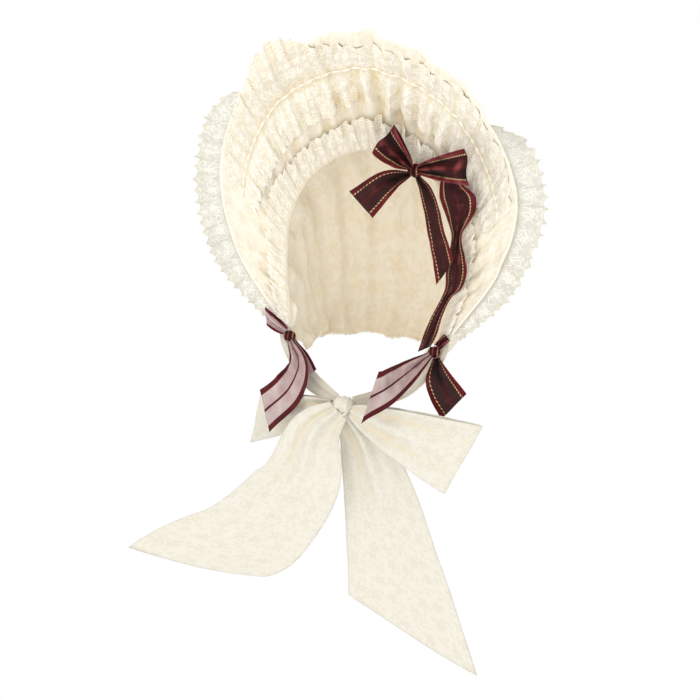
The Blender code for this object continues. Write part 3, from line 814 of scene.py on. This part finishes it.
@lru_cache(maxsize=None)
def outerProfile(side):
    backward = -facingAt(side, 1)
    outward = section(side)[4].cross(backward).normalized()
    turnSide = max(side - outerLace["later"], 0) if side > 0 else side
    turn = math.radians(shareAt(outerLace["turn"], turnSide))
    share = shareAt(outerLace["share"], side)
    over = ramp(turn, 1.0, 2.8)  # 1 where it lies flopped back
    behind = outerLace["behind"] + min(edgeFolds(round(side, 6)), 0)
    line = [brimPoint(side, reach - 0.07 * over, behind) for reach in outerLace["back"]]
    crests = [Vector(), Vector()]
    for width, angle in zip(outerLace["strips"], (turn * (outerLace["curl"] + 0.2 * over), turn)):
        way = outward * math.cos(angle) + backward * math.sin(angle)
        line.append(line[-1] + way * width * share)
        crests.append(backward * math.cos(angle) - outward * math.sin(angle))
    return line, crests, share


def outerRun(side):
    return runAt(side, 1) * outerLace["fullness"]


def outerLacePoint(side, share, lift=0.0):
    line, crests, size = outerProfile(round(side, 6))
    last = len(line) - 1
    place = share * last
    point = through(line, min(place, last))
    crest = through(crests, min(place, last))
    if place > last:  # past the plain width, into a point of the edge
        out = (line[-1] - line[-2]).normalized()
        point = point + out * (place - last) * outerLace["past"] * size
    phase = gatherPhase(side) + 1.2 * wrinkle(outerRun(side), 0, 4.4, 30)
    grow = ramp(share, 0.25, 0.9) * size
    ruffle = outerLace["ruffle"] * (math.cos(phase) + 0.35 * math.cos(2.3 * phase + 1))
    sway = section(side)[4] * math.sin(2 * phase) * grow
    return point + crest * (ruffle * grow + lift) + sway


def pointedShare(side):  # how far out the edge stands, in the same measure as share
    tall = 1 - scallop(outerRun(side), outerLace["pointSize"])
    return 0.98 + outerLace["pointDepth"] / outerLace["clothWidth"] * tall


def makeOuterLace():
    count = brim["stations"] * outerLace["samplesPerStation"]
    radius, inset = outerLace["edgeCords"]
    rows, edge, inner = [], [], []
    for i in range(count + 1):
        side = 2 * i / count - 1
        top, run = pointedShare(side), outerRun(side)
        # painted shade in the valleys of its ruffles
        valleyShade = outerLace["shade"] * ramp(-math.cos(gatherPhase(side)), 0, 1)
        row = []
        for j in range(outerLace["rowsAcross"] + 1):
            share = j / outerLace["rowsAcross"] * top
            place = (run, share * outerLace["clothWidth"])
            row.append((outerLacePoint(side, share), place, valleyShade * ramp(share, 0.3, 0.5)))
        rows.append(row)
        edge.append(row[-1][0])
        inner.append(outerLacePoint(side, top - inset, 0.2))
    piece = makeCloth("outerLaceNet", rows, openNet)
    settle(piece, "ivory_lace", "outer_lace")
    settle(makeCords("outerLaceCord", [edge, inner], radius, edgeCord), "ivory_lace")

    low, high, spacing = outerLace["zigzag"]
    steps = int(outerRun(1) / spacing)
    zigzag = []
    for k in range(2 * steps + 1):  # a turn, then the middle of the way to the next
        share = (low + high) / 2 if k % 2 else low if k % 4 else high
        zigzag.append(outerLacePoint(k / steps - 1, share, 0.4))
    cord = makeCords("outerLaceZigzag", [zigzag], outerLace["zigzagRadius"], laceCord)
    settle(cord, "ivory_lace")


makeOuterLace()
print("outer lace made")


midLace = {
    "line": 0.68,  # it is sewn on at this reach
    "fromSeam": 0,
    "wings": (  # way, width, shares of it down the brim, lift from the stitches to the edge
        (-1, 36, (0.95, 1.28, 1.15, 0.88, 0.4, 0.4, 0.4), ((0, 0), (0.5, 2.4), (1, 2.8))),
        (1, 38, (0.9, 1.05, 1.25, 0.9, 0.35, 0.35, 0.35), ((0, 0), (0.5, 1.0), (1, -0.7))),
    ),
    "flaps": (  # where the outward wing is wider or narrower, how far along, and by how much
        (-0.25, 0.09, 0.5), (0.28, 0.16, -0.3), (0.0, 0.08, -0.2),
    ),
    "ruffle": ((0, 0), (0.5, 1.9), (1, 2.3)),
    "base": 2.1,
    "endStations": 15,  # of the brim, left bare at each lower end
    "scallopSize": 19.0,
    "scallopDepth": 6.0,
    "runLine": 0.6,
    "clothFrom": 0,
    "flat": (0.088, 0.78),
    "nearStitches": (0.6, 0.02, 0.22),  # painted shade by the stitches, and where it fades
    "ruffleShadeFrom": 0.2,
    "border": (0.25, 0.7),  # shade of the worked border, and where it begins
    "cords": (0.0, 0.075, 0.15, 0.225),  # how far each lies in from the edge
    "pleats": (0.0, 0.11),  # where the cloth's pleats lie under it, and how far to each side; their painted shade is copied on
    "puckers": (10.0, 0.85, 0.45),  # spacing, middle radius and how much it swells
}
innerLace = {
    "line": 0,
    "fromSeam": 3.0,
    "wings": (
        (1, 34, (1.25, 0.92, 0.82, 0.95, 0.8, 0.6, 0.3), ((0, 0), (0.5, 2.2), (1, 4.2))),
    ),
    "flaps": (),
    "ruffle": ((0, 0), (0.5, 1.7), (1, 2.6)),
    "base": 2.3,
    "endStations": 0,
    "scallopSize": 16.0,
    "scallopDepth": 5.5,
    "runLine": 0.2,
    "clothFrom": 60,
    "flat": (0.04, 0.7),
    "nearStitches": (0.25, 0, 0.3),
    "ruffleShadeFrom": 0,
    "border": (0.3, 0.66),
    "cords": (0.0, 0.085, 0.17, 0.255),
    "pleats": None,
}
frills = {  # what the two have in common
    "fullness": 1.6,
    "rowsAcross": 18,
    "samplesPerStation": 9,
    "cordRadius": 0.4,
    "cordLift": 0.12,
    "ruffleShade": 0.25,
    "puckerLift": 0.7,
    "valleyOfPoints": 0.93,  # the free edge between its points, as a share of the width
    "hiddenCords": 0.85,  # how much thinner the cords are where the pleats swallow them
    "borderFade": 0.06,
}


def frillSides(plan):
    stations = brim["stations"] - 2 * plan["endStations"]
    count = stations * frills["samplesPerStation"]
    first = 2 * plan["endStations"] / brim["stations"] - 1
    return [first + 2 * (i / count) * stations / brim["stations"] for i in range(count + 1)]


def stitchesAt(plan, side):  # millimetres from the seam to its stitches
    return plan["fromSeam"] + plan["line"] * section(side)[2]


def frillPoint(plan, side, stitches, away, wing, extra=0.0):
    # away is signed, from 0 at the stitches to 1 at the free edge's plain line
    width, share, lift = wing
    breadth = section(side)[2]
    amount = min(abs(away), 1.3)
    phase = gatherPhase(side) + 2.6 * wrinkle(runAt(side, stitches / breadth), 0, 7.7, 34)
    wave = 0.5 + 0.5 * math.cos(phase) + 0.18 * math.cos(2.7 * phase + 2)
    height = (between(lift, amount) + between(plan["ruffle"], amount) * wave) * share
    sway = 0.0042 * math.sin(2 * phase) * amount
    swayed = min(max(side + sway, -1), 1)
    reach = (stitches + away * width * share) / breadth
    height += plan["base"] + extra + brimGather(side, min(reach, 1))[0]
    return brimPoint(round(swayed, 6), reach, height)


def makeFrill(name, plan):
    across = frills["rowsAcross"]
    nearShade, nearFrom, nearTo = plan["nearStitches"]
    borderShade, borderFrom = plan["border"]
    borderTo = borderFrom + frills["borderFade"]
    rows, cordSizes = [], []
    cordLines = {(wing[0], n): [] for wing in plan["wings"] for n in range(len(plan["cords"]))}
    for side in frillSides(plan):
        stitches = stitchesAt(plan, side)
        run = runAt(side, plan["runLine"]) * frills["fullness"]
        valleyShade = ramp(-math.cos(gatherPhase(side)), plan["ruffleShadeFrom"], 1)
        deep = 0
        if plan["pleats"]:
            deep = math.exp(-(((side - plan["pleats"][0]) / plan["pleats"][1]) ** 2))
        cordSizes.append(1 - frills["hiddenCords"] * deep)
        row = []
        for way, width, shares, lift in plan["wings"]:
            share = shareAt(shares, side)
            for centre, spread, gain in plan["flaps"] if way > 0 else ():
                share *= 1 + gain * math.exp(-(((side - centre) / spread) ** 2))
            wing = (width, share, lift)
            edgeRun = runAt(side, brim["gatherLine"]) * frills["fullness"]
            tall = scallop(edgeRun, plan["scallopSize"])
            top = frills["valleyOfPoints"]
            top += plan["scallopDepth"] / max(width * share, 8) * tall
            for j in range(across + 1) if way > 0 else range(across, 0, -1):
                away = j / across * top
                point = frillPoint(plan, side, stitches, way * away, wing)
                near = 1 - ramp(away, nearFrom, nearTo)
                # painted shade: by the stitches, in the ruffles' valleys, and over the top's pleats the
                # brim's own
                if way < 0 and abs(side) < 0.3:
                    reach = (stitches - away * width * share) / section(side)[2]
                    near += deep * (1.9 * brimGather(side, reach)[1] - 0.3)
                fold = nearShade * min(near, 1.2) + frills["ruffleShade"] * valleyShade
                fold += borderShade * ramp(away / top, borderFrom, borderTo)
                row.append((point, (run, way * away * width * share + plan["clothFrom"]), fold))
            for n, inset in enumerate(plan["cords"]):
                away = way * (top - inset)
                cord = frillPoint(plan, side, stitches, away, wing, frills["cordLift"])
                cordLines[way, n].append(cord)
        rows.append(row)
    piece = makeCloth(name + "Net", rows, fineNet)
    settle(piece, "ivory_lace", nodeOf(name))
    even = [1] * len(cordSizes)
    sizes = [cordSizes if way < 0 else even for way, n in cordLines]
    lines = list(cordLines.values())
    cords = makeCords(name + "Cord", lines, frills["cordRadius"], laceCord, sizes)
    settle(cords, "ivory_lace")


def makePuckers():  # the thick gathered line of stitches down the middle frill
    spacing, middle, swell = midLace["puckers"]
    line, sizes = [], []
    for side in frillSides(midLace):
        run = runAt(side, midLace["runLine"]) * frills["fullness"]
        turn = 2 * math.pi * runAt(side, midLace["line"]) / spacing
        turn += 1.5 * wrinkle(run, 0, 9.1, 20)
        wander = 0.6 * wrinkle(run, 0, 3.9, 9)
        stitches = stitchesAt(midLace, side) + wander
        flat = (1, 1, ((0, 0), (1, 0)))
        line.append(frillPoint(midLace, side, stitches, 0, flat, frills["puckerLift"]))
        sizes.append(1 + swell / middle * math.cos(turn) * (1 + 0.4 * wander))
    settle(makeCords("midLacePuckers", [line], middle, laceCord, [sizes]), "ivory_lace")


makeFrill("midLace", midLace)
makePuckers()
print("middle lace made")

makeFrill("innerLace", innerLace)
print("inner lace made")


# Ribbon and tie. Every bow is a knot with loops and tails, each leaving the knot its own way.

def knotAt(centre, facing, halves):
    across = Vector((0, 0, 1)).cross(facing).normalized()
    return {"centre": centre, "axes": (across, facing.cross(across), facing), "halves": halves}


knotGap = 0.85
knotGrid = (40, 22)  # faces around and across


def outOf(knot, direction):  # the point just off the knot where a band leaves it
    way = Vector(direction).normalized()
    stretch = sum((way.dot(a) / h) ** 2 for a, h in zip(knot["axes"], knot["halves"]))
    return knot["centre"] + way * (1 / math.sqrt(stretch) + knotGap)


# the fold attribute's painted light: shade in a crease, and on ribbon a highlight where it bends forward
def shading(ribbon, crest):  # crest runs from -1 in a crease to 1 where the cloth bends forward
    return 0.42 + 0.42 * crest if ribbon else 0.5 * ramp(-crest, 0.1, 1)


ribbonBand = {
    "ribbon": True, "faceUp": True, "slot": "burgundy_ribbon", "thickness": 0.35, "cut": 37,
    "wraps": 3,  # creases across the knot
    "wrapCloth": 1.0,  # how much of the band's width shows on it
    "pleats": 1, "steps": 48, "across": 20, "slant": 0, "bow": 0,
    "softFold": 1.1, "softSize": 12, "seed": 1.0, "held": "hung",
}
ribbonLoop = {
    **ribbonBand, "faceUp": False, "parting": 1.21, "pleats": 2, "steps": 64, "held": "folded",
    "roll": 0.06, "gather": 0.12, "softFold": 2.2, "softSize": 16, "sheen": 1.9,
}
tieBand = {
    "ribbon": False, "slot": "cream_tie", "thickness": 0.9, "cut": 105,
    "wraps": 4, "wrapCloth": 30,
    "pleats": 2, "steps": 96, "across": 44, "slant": 0, "bow": 0,
    "softFold": 2.0, "softSize": 46, "seed": 2.0, "held": "hung",
}
tieLoop = {
    **tieBand, "parting": 1.65, "held": "folded", "roll": 0.02, "gather": 0.09, "softSize": 16,
    "sheen": 0.3,
}


def finishBand(name, plan, rows):
    top, under = tieCotton, None
    if plan["ribbon"]:
        top, under = (ribbonFace, ribbonReverse) if plan["faceUp"] else (ribbonReverse, ribbonFace)
    piece = makeCloth(name, rows, top, plan["thickness"], under)
    settle(piece, plan["slot"], nodeOf(name))


def bandPlace(plan, t, run):  # a ribbon's material counts across it in widths, from edge to edge
    return (t + 0.5, run) if plan["ribbon"] else (t * plan["cut"], run)


def makeKnot(name, knot, band):  # one turn of the band round the knot, creased along its way
    across, up, facing = knot["axes"]
    halves = knot["halves"]
    around, columns = knotGrid
    rows = []
    for i in range(around):
        angle = 2 * math.pi * i / around
        row = []
        for j in range(columns + 1):
            t = math.sin(math.pi * (j / columns - 0.5))
            crease = math.cos(math.pi * band["wraps"] * t + 0.6 * math.sin(angle))
            size = max(1 - abs(t) ** 2.4, 0) ** 0.5 * (1.02 + 0.08 * crease)
            point = knot["centre"] + across * t * halves[0]
            point = point + up * size * halves[1] * math.cos(angle)
            point = point + facing * size * halves[2] * math.sin(angle)
            # painted light: shade in its creases, and on ribbon a highlight on its wraps
            crest = crease if crease > 0 else 0.6 * crease
            place = (0.5 + 0.5 * t * band["wrapCloth"], i * 1.1)
            row.append((point, place, shading(band["ribbon"], crest)))
        rows.append(row)
    piece = makeCloth(name, rows, ribbonFace if band["ribbon"] else tieCotton, ring=True)
    settle(piece, band["slot"], nodeOf(name))


def makeTail(name, knot, plan):  # its rows are x, y, z, width and a twist in degrees
    lines = [Vector((*outOf(knot, plan["leaves"]), plan["rootWidth"]))]
    lines += [Vector(row[:4]) for row in plan["rows"]]
    turns = [0] + [row[4] for row in plan["rows"]]
    last = len(plan["rows"])
    steps, across, pleats = plan["steps"], plan["across"], plan["pleats"]
    step = 0.02  # its direction is taken between places this far to each side
    rows, run, before = [], 0, None
    for i in range(steps + 1):
        share = i / steps
        place = share * last
        here = through(lines, place)
        ahead = through(lines, min(place + step, last)) - through(lines, max(place - step, 0))
        ahead = ahead.xyz.normalized()
        twist = Matrix.Rotation(math.radians(stepIn(turns, place)), 3, ahead)
        sideways = twist @ ahead.cross(front).normalized()
        normal = sideways.cross(ahead)
        run += (here.xyz - before).length if before else 0
        before = here.xyz
        near = (1 - share) ** 1.7  # gathered by the knot
        row = []
        for j in range(across + 1):
            t = j / across - 0.5
            pleat = math.cos(2 * math.pi * pleats * (t + 0.5))
            small = math.cos(2 * math.pi * (pleats + 1.5) * (t + 0.5) + 0.8)
            soft = wrinkle(t * here.w, run, plan["seed"], plan["softSize"])
            soft += 0.5 * math.sin(2 * math.pi * (t * 1.3 + run / (plan["softSize"] * 3.3)))
            height = here.w * near * (0.125 / pleats * pleat + 0.05 * small)
            height += plan["softFold"] * ramp(share, 0, 0.3) * soft
            slant = plan["slant"] * t + plan["bow"] * (1 - 4 * t * t) * 0.25
            point = here.xyz + sideways * here.w * t + ahead * slant * share**2
            # painted light: shade in its pleats and highlights on its soft folds
            crest = 0.8 * near * pleat + 0.2 * soft + 0.3 * near * small
            if plan["ribbon"]:  # painted darker near the knot: shade in its gathers, and the layers they stack
                crest -= 0.7 * near
            fold = shading(plan["ribbon"], crest)
            row.append((point + normal * height, bandPlace(plan, t, run), fold))
        rows.append(row)
    finishBand(name, plan, rows)


def makeLoop(name, knot, plan):
    root = outOf(knot, plan["leaves"])
    out = Vector(plan["tip"]) - root
    length = out.length
    out.normalize()
    sideways = out.cross(front).normalized()
    normal = sideways.cross(out)
    steps, across = plan["steps"], plan["across"]
    low, high = plan["widths"]
    rows, run, last = [], 0, None
    for i in range(steps + 1):
        angle = math.pi * (2 * i / steps - 1)
        share = 0.5 + 0.5 * math.cos(angle)  # 0 at the knot and 1 at the tip
        near = 1 - share
        apart = 0.5 * plan["puff"] * math.sin(angle) * math.sqrt(share)
        apart += math.copysign(plan["parting"], angle) * near
        width = low + (high - low) * share**0.7
        middle = root + out * length * share + normal * apart
        run += (middle - last).length if last else 0
        last = middle
        row = []
        for j in range(across + 1):
            t = j / across - 0.5
            crease = math.cos(2 * math.pi * plan["pleats"] * (t + 0.5))
            soft = wrinkle(t * 40, run, plan["seed"], plan["softSize"])
            height = plan["gather"] * width * near**0.8 * crease
            height += plan["softFold"] * share * near * 4 * soft
            height += plan["roll"] * width * share * math.sin(2 * math.pi * t)
            point = middle + (sideways * width + out * plan["slant"] * share) * t
            # painted light: shade in the pleats by the knot, and highlights on the soft folds, as much
            # as sheen says
            bend = crease * (0.2 + near) + plan["sheen"] * soft * share
            fold = shading(plan["ribbon"], bend)
            row.append((point + normal * height, bandPlace(plan, t, run), fold))
        rows.append(row)
    finishBand(name, plan, rows)


def makeBow(name, knot, plan, band, loop):  # a piece is named for its bow and its place in it
    for place, own in plan["loops"].items():
        makeLoop(name + place, knot, {**loop, **own})
    for place, own in plan["tails"].items():
        makeTail(name + place, knot, {**band, **own})


topBow = {
    "knotSide": 0.2,
    "knotHalves": (8.5, 7.0, 6.0),
    "fromSeam": 2.0,
    "height": 9.8,
    "loops": {
        "LoopRight": {"leaves": (-0.6, -0.8, 0.6), "tip": (21, -60, 18), "widths": (6, 37),
                      "puff": 11, "slant": 24, "length": 110},
        "LoopLeft": {"leaves": (0.6, -0.9, 0.3), "tip": (110, -80, 0), "widths": (5, 35),
                     "puff": 8, "length": 185},
    },
    "tails": {
        "TailRight": {"leaves": (-0.65, -0.7, -0.5), "rootWidth": 5, "length": 70, "seed": 4.0,
                      "rows": ((21, -38, -27, 24, 0), (0, -52, -49, 35, 0))},
        "TailLeft": {"leaves": (0.5, -0.65, -0.65), "rootWidth": 5, "slant": 20, "length": 125,
                     "rows": ((63, -34, -38, 16, 12), (74, -37, -72, 20, 20),
                              (86, -40, -110, 26, 20))},
    },
}


def makeTopBow():
    side = topBow["knotSide"]
    centre = brimPoint(side, topBow["fromSeam"] / section(side)[2], topBow["height"])
    knot = knotAt(centre, facingAt(side, 0).normalized(), topBow["knotHalves"])
    makeKnot("topBowKnot", knot, ribbonBand)
    makeBow("topBow", knot, topBow, ribbonBand, ribbonLoop)


makeTopBow()
print("top bow made")


endBows = {
    "knot": (76, -24, -194),
    "knotHalves": (6.5, 5.5, 5.0),
    "rightBow": {
        "loops": {
            "Loop": {"leaves": (-0.65, -0.1, 0.75), "tip": (-101, -28, -175), "widths": (8, 14),
                     "puff": 7, "slant": 12, "length": 62, "faceUp": True},
        },
        "tails": {
            "TailFront": {"leaves": (0.35, -0.75, -0.55), "rootWidth": 6, "slant": -22,
                          "length": 110, "faceUp": False,
                          "rows": ((-57, -52, -215, 22, 0), (-60, -71, -238, 34, 0),
                                   (-82, -76, -262, 38, 0))},
            "TailBack": {"leaves": (0.75, -0.15, -0.65), "rootWidth": 5, "slant": 8,
                         "length": 48, "faceUp": False,
                         "rows": ((-56, -42, -213, 18, 0), (-48, -47, -229, 24, 0))},
        },
    },
    "leftBow": {
        "loops": {
            "Loop": {"leaves": (0.5, 0.1, 0.8), "tip": (89, -27, -177), "widths": (7, 9),
                     "puff": 5, "pleats": 3, "gather": 0.22, "length": 36},
        },
        "tails": {
            "TailFront": {"leaves": (-0.4, -0.85, -0.3), "rootWidth": 6, "slant": -42,
                          "length": 110, "faceUp": False,
                          "rows": ((61, -62, -208, 22, 0), (49, -94, -219, 32, 0),
                                   (36, -110, -227, 36, 0))},
            "TailBack": {"leaves": (0.35, 0.1, -0.9), "rootWidth": 6, "slant": 8, "length": 62,
                         "rows": ((84, -34, -216, 26, 0), (92, -36, -230, 34, 0),
                                  (103, -38, -244, 36, 0))},
        },
    },
}


def makeEndBow(name, mirror):
    x, y, z = endBows["knot"]
    knot = knotAt(Vector((mirror * x, y, z)), front, endBows["knotHalves"])
    makeKnot(name + "Knot", knot, ribbonBand)
    makeBow(name, knot, endBows[name], ribbonBand, ribbonLoop)


makeEndBow("rightBow", -1)
makeEndBow("leftBow", 1)
print("lower bows made")


cascade = {
    "rows": (  # inner edge, outer edge and how far its middle stands forward
        ((76, -35, -18), (93, -41, -17), 1),
        ((74, -34, -25), (101, -41, -24), 2),
        ((75, -35, -38), (112, -42, -32), 5),
        ((80, -33, -51), (112, -38, -47), 5),
        ((84, -29, -63), (104, -31, -61), 3),
        ((87, -26.5, -74), (98, -27.5, -71), 0),
        ((87, -26.5, -84), (98, -27.5, -82), 0),
        ((86, -29, -98), (103, -32, -94), 4),
        ((84, -28, -112), (106, -32, -109), 5),
        ((84, -26, -127), (101, -29, -126), 3),
        ((80, -25, -139), (90, -26, -138), 0),
        ((71, -27, -160), (83, -29, -157), 1),
        ((65, -25, -176), (78, -25, -175), 1),
        ((60, -26, -195), (72.5, -26, -188.4), 0),
    ),
    "steps": 150,
    "across": 20,
    "openWidth": 32,  # from this width on it isn't gathered
    "gathers": 2.5,  # across it
    "gatherDepth": 1.3,
    "cut": 37,
    "length": 230,
}


def makeCascade():
    inner = [Vector(row[0]) for row in cascade["rows"]]
    outer = [Vector(row[1]) for row in cascade["rows"]]
    crests = [row[2] for row in cascade["rows"]]
    rows = []
    for i in range(cascade["steps"] + 1):
        share = i / cascade["steps"]
        place, run = share * (len(inner) - 1), share * cascade["length"]
        start, end = through(inner, place), through(outer, place)
        crest = through(crests, place)
        tight = 1 - min((end - start).length / cascade["openWidth"], 1)
        row = []
        for j in range(cascade["across"] + 1):
            t = j / cascade["across"]
            fold = math.cos(2 * math.pi * (cascade["gathers"] * t + 0.25 * math.sin(run / 17)))
            small = wrinkle(t * 26, run, 5.2, 9)
            push = crest * math.sin(math.pi * t) + cascade["gatherDepth"] * tight * fold + small
            # painted light: highlight where its middle stands forward, shade in its gathers, and darker
            # all over
            bend = 0.06 * crest - 0.2 + tight * fold + 0.3 * small
            row.append((start.lerp(end, t) + front * push, (t, run), shading(True, bend)))
        rows.append(row)
    piece = makeCloth("ribbonCascade", rows, ribbonReverse, ribbonBand["thickness"], ribbonFace)
    settle(piece, "burgundy_ribbon", "ribbon_cascade")


makeCascade()
print("gathered ribbon made")


tie = {
    "knot": (1, -80, -245),
    "knotHalves": (11.0, 8.5, 8.0),
    "straps": {
        "leaves": (0.9, 0.4),
        "rows": (  # its upper and its lower edge, on the wearer's left
            ((67, -19, -203), (85, -22, -204)),
            ((46, -34, -224), (58, -38, -237)),
            ((25, -52, -233), (33, -52, -247)),
        ),
        "sewnOn": (0.08, 0.92),  # from and to, across the brim's lower end
        "drop": 2.0,
        "fold": 1.2,
        "halfWidth": 5,  # at the knot
        "steps": 60,
        "across": 28,
        "clothSize": (60, 110),
        "flat": (0.03, 0.11),
    },
    "loops": {
        "LoopRight": {"leaves": (-0.9, 0.2, -0.45), "tip": (-105, -34, -281), "widths": (18, 50),
                      "puff": 8, "slant": -34, "length": 260, "cut": 60, "seed": 3.0},
        "LoopLeft": {"leaves": (0.9, -0.35, -0.35), "tip": (130, -100, -280), "widths": (10, 78),
                     "puff": 10, "slant": -14, "length": 285, "cut": 80},
    },
    "tails": {
        "TailRight": {"leaves": (-0.3, -0.7, -0.42), "rootWidth": 24, "slant": 112,
                      "length": 300, "bow": 30,
                      "rows": ((-24, -92, -276, 56, 0), (-38, -96, -325, 82, 0),
                               (-80, -99, -380, 94, 0), (-141, -102, -421, 90, 0))},
        "TailLeft": {"leaves": (0.22, -0.1, -0.75), "rootWidth": 27, "slant": -100,
                     "length": 300, "bow": 10, "seed": 6.0,
                     "rows": ((24, -76, -282, 52, 0), (45, -78, -335, 74, 0),
                              (64, -82, -395, 93, 0), (87, -88, -469, 113, 0))},
    },
}


def makeStrap(name, mirror, knot):
    strap = tie["straps"]
    seam, rim = section(1.0)[:2]
    before = section(0.99)
    down = (seam.lerp(rim, 0.5) - before[0].lerp(before[1], 0.5)).normalized()
    leave = outOf(knot, (mirror, *strap["leaves"]))
    leave.x *= mirror
    half = Vector((0, 0, strap["halfWidth"]))
    upper, lower = (
        [seam.lerp(rim, share) + down * strap["drop"]]
        + [Vector(row[edge]) for row in strap["rows"]]
        + [end]
        for edge, share, end in zip((0, 1), strap["sewnOn"], (leave + half, leave - half))
    )
    steps, across = strap["steps"], strap["across"]
    clothWidth, clothLength = strap["clothSize"]
    rows = []
    for i in range(steps + 1):
        share = i / steps
        place = share * (len(upper) - 1)
        above, below = through(upper, place), through(lower, place)
        row = []
        for j in range(across + 1):
            t = j / across
            pleat = math.cos(4 * math.pi * t + 0.5 * math.sin(5 * share))
            point = above.lerp(below, t)
            point.x *= mirror
            point.y += strap["fold"] * math.sin(math.pi * share) * pleat
            cloth = (t * clothWidth, share * clothLength)
            # painted shade in the valleys of its pleats
            row.append((point, cloth, 0.4 * ramp(pleat, 0, 1)))
        rows.append(row)
    piece = makeCloth(name, rows, tieCotton, tieBand["thickness"])
    settle(piece, "cream_tie", nodeOf(name))


def makeTie():
    knot = knotAt(Vector(tie["knot"]), front, tie["knotHalves"])
    makeKnot("tieKnot", knot, tieBand)
    makeStrap("tieStrapRight", -1, knot)
    makeStrap("tieStrapLeft", 1, knot)
    makeBow("tie", knot, tie, tieBand, tieLoop)


makeTie()
print("tie made")


# Studio: a white paper floor, broad soft lights in a white room, and the photograph's camera

studio = {
    "floorZ": -900,
    "floorY": (-1100, 500),  # it ends before the photograph's view would take it in
    "halfWidth": 1000,
    "lights": (  # name, place, size, watts
        ("keyLight", (-900, -1500, 900), 1400, 10),
        ("fillLight", (1400, -1300, 500), 1500, 2.5),
        ("frontLight", (350, -2200, -500), 1800, 12),
        ("topLight", (0, 100, 1700), 1600, 4),
    ),
    "aim": (0, -40, -160),
    "sky": "#FFFFFF",
    "skyStrength": 0.84,  # what lights the cloth
    "skySeen": 1.0,  # what shows behind it
}


def makeStudio():
    half, z = studio["halfWidth"], studio["floorZ"]
    rows = [
        [(Vector((x, y, z)), (place, 0), 0) for place, x in enumerate((half, -half))]
        for y in studio["floorY"]
    ]
    makeCloth("paperFloor", rows, studioPaper())
    aim = Vector(studio["aim"]) * mm
    for name, place, size, watts in studio["lights"]:
        light = bpy.data.lights.new(name, "AREA")
        light.shape = "DISK"
        light.size = size * mm
        light.energy = watts
        lamp = bpy.data.objects.new(name, light)
        lamp.location = Vector(place) * mm
        lamp.rotation_mode = "QUATERNION"
        lamp.rotation_quaternion = (aim - lamp.location).to_track_quat("-Z", "Y")
        lamp.visible_camera = False
        bpy.context.scene.collection.objects.link(lamp)
    world = bpy.data.worlds.new("studioSky")
    world.use_nodes = True
    sky = world.node_tree.nodes["Background"]
    sky.inputs["Color"].default_value = linear(studio["sky"])
    seen = addNode(world.node_tree, "LightPath", out="Is Camera Ray")
    strength = addNode(
        world.node_tree, "MapRange",
        {"Value": seen, "To Min": studio["skyStrength"], "To Max": studio["skySeen"]},
    )
    world.node_tree.links.new(strength, sky.inputs["Strength"])
    bpy.context.scene.world = world
    bpy.context.scene.view_settings.view_transform = "Standard"


cameraPlan = {
    "azimuth": 16.0,
    "elevation": 12.0,
    "roll": 3.0,
    "distance": 2.0,  # metres
    "viewWidth": 0.70,  # metres across the picture at the object
    "shift": (28, -200),  # where the origin stands in the picture, from its middle
    "sensor": 36,
    "clipEnd": 100,
}


def makeCamera():
    a, e, r = (math.radians(cameraPlan[k]) for k in ("azimuth", "elevation", "roll"))
    back = Vector((math.sin(a) * math.cos(e), -math.cos(a) * math.cos(e), math.sin(e)))
    level = Vector((math.cos(a), math.sin(a), 0))
    upright = back.cross(level)
    right = level * math.cos(r) + upright * math.sin(r)
    up = -level * math.sin(r) + upright * math.cos(r)
    shift, distance = cameraPlan["shift"], cameraPlan["distance"]
    cam = bpy.data.objects.new("photoCamera", bpy.data.cameras.new("photoCamera"))
    bpy.context.scene.collection.objects.link(cam)
    matrix = Matrix((right, up, back)).transposed().to_4x4()
    matrix.translation = (-right * shift[0] + up * shift[1]) * mm + back * distance
    cam.matrix_world = matrix
    cam.data.lens = cameraPlan["sensor"] * distance / cameraPlan["viewWidth"]
    cam.data.clip_end = cameraPlan["clipEnd"]
    bpy.context.scene.camera = cam


makeStudio()
makeCamera()
print("studio made")
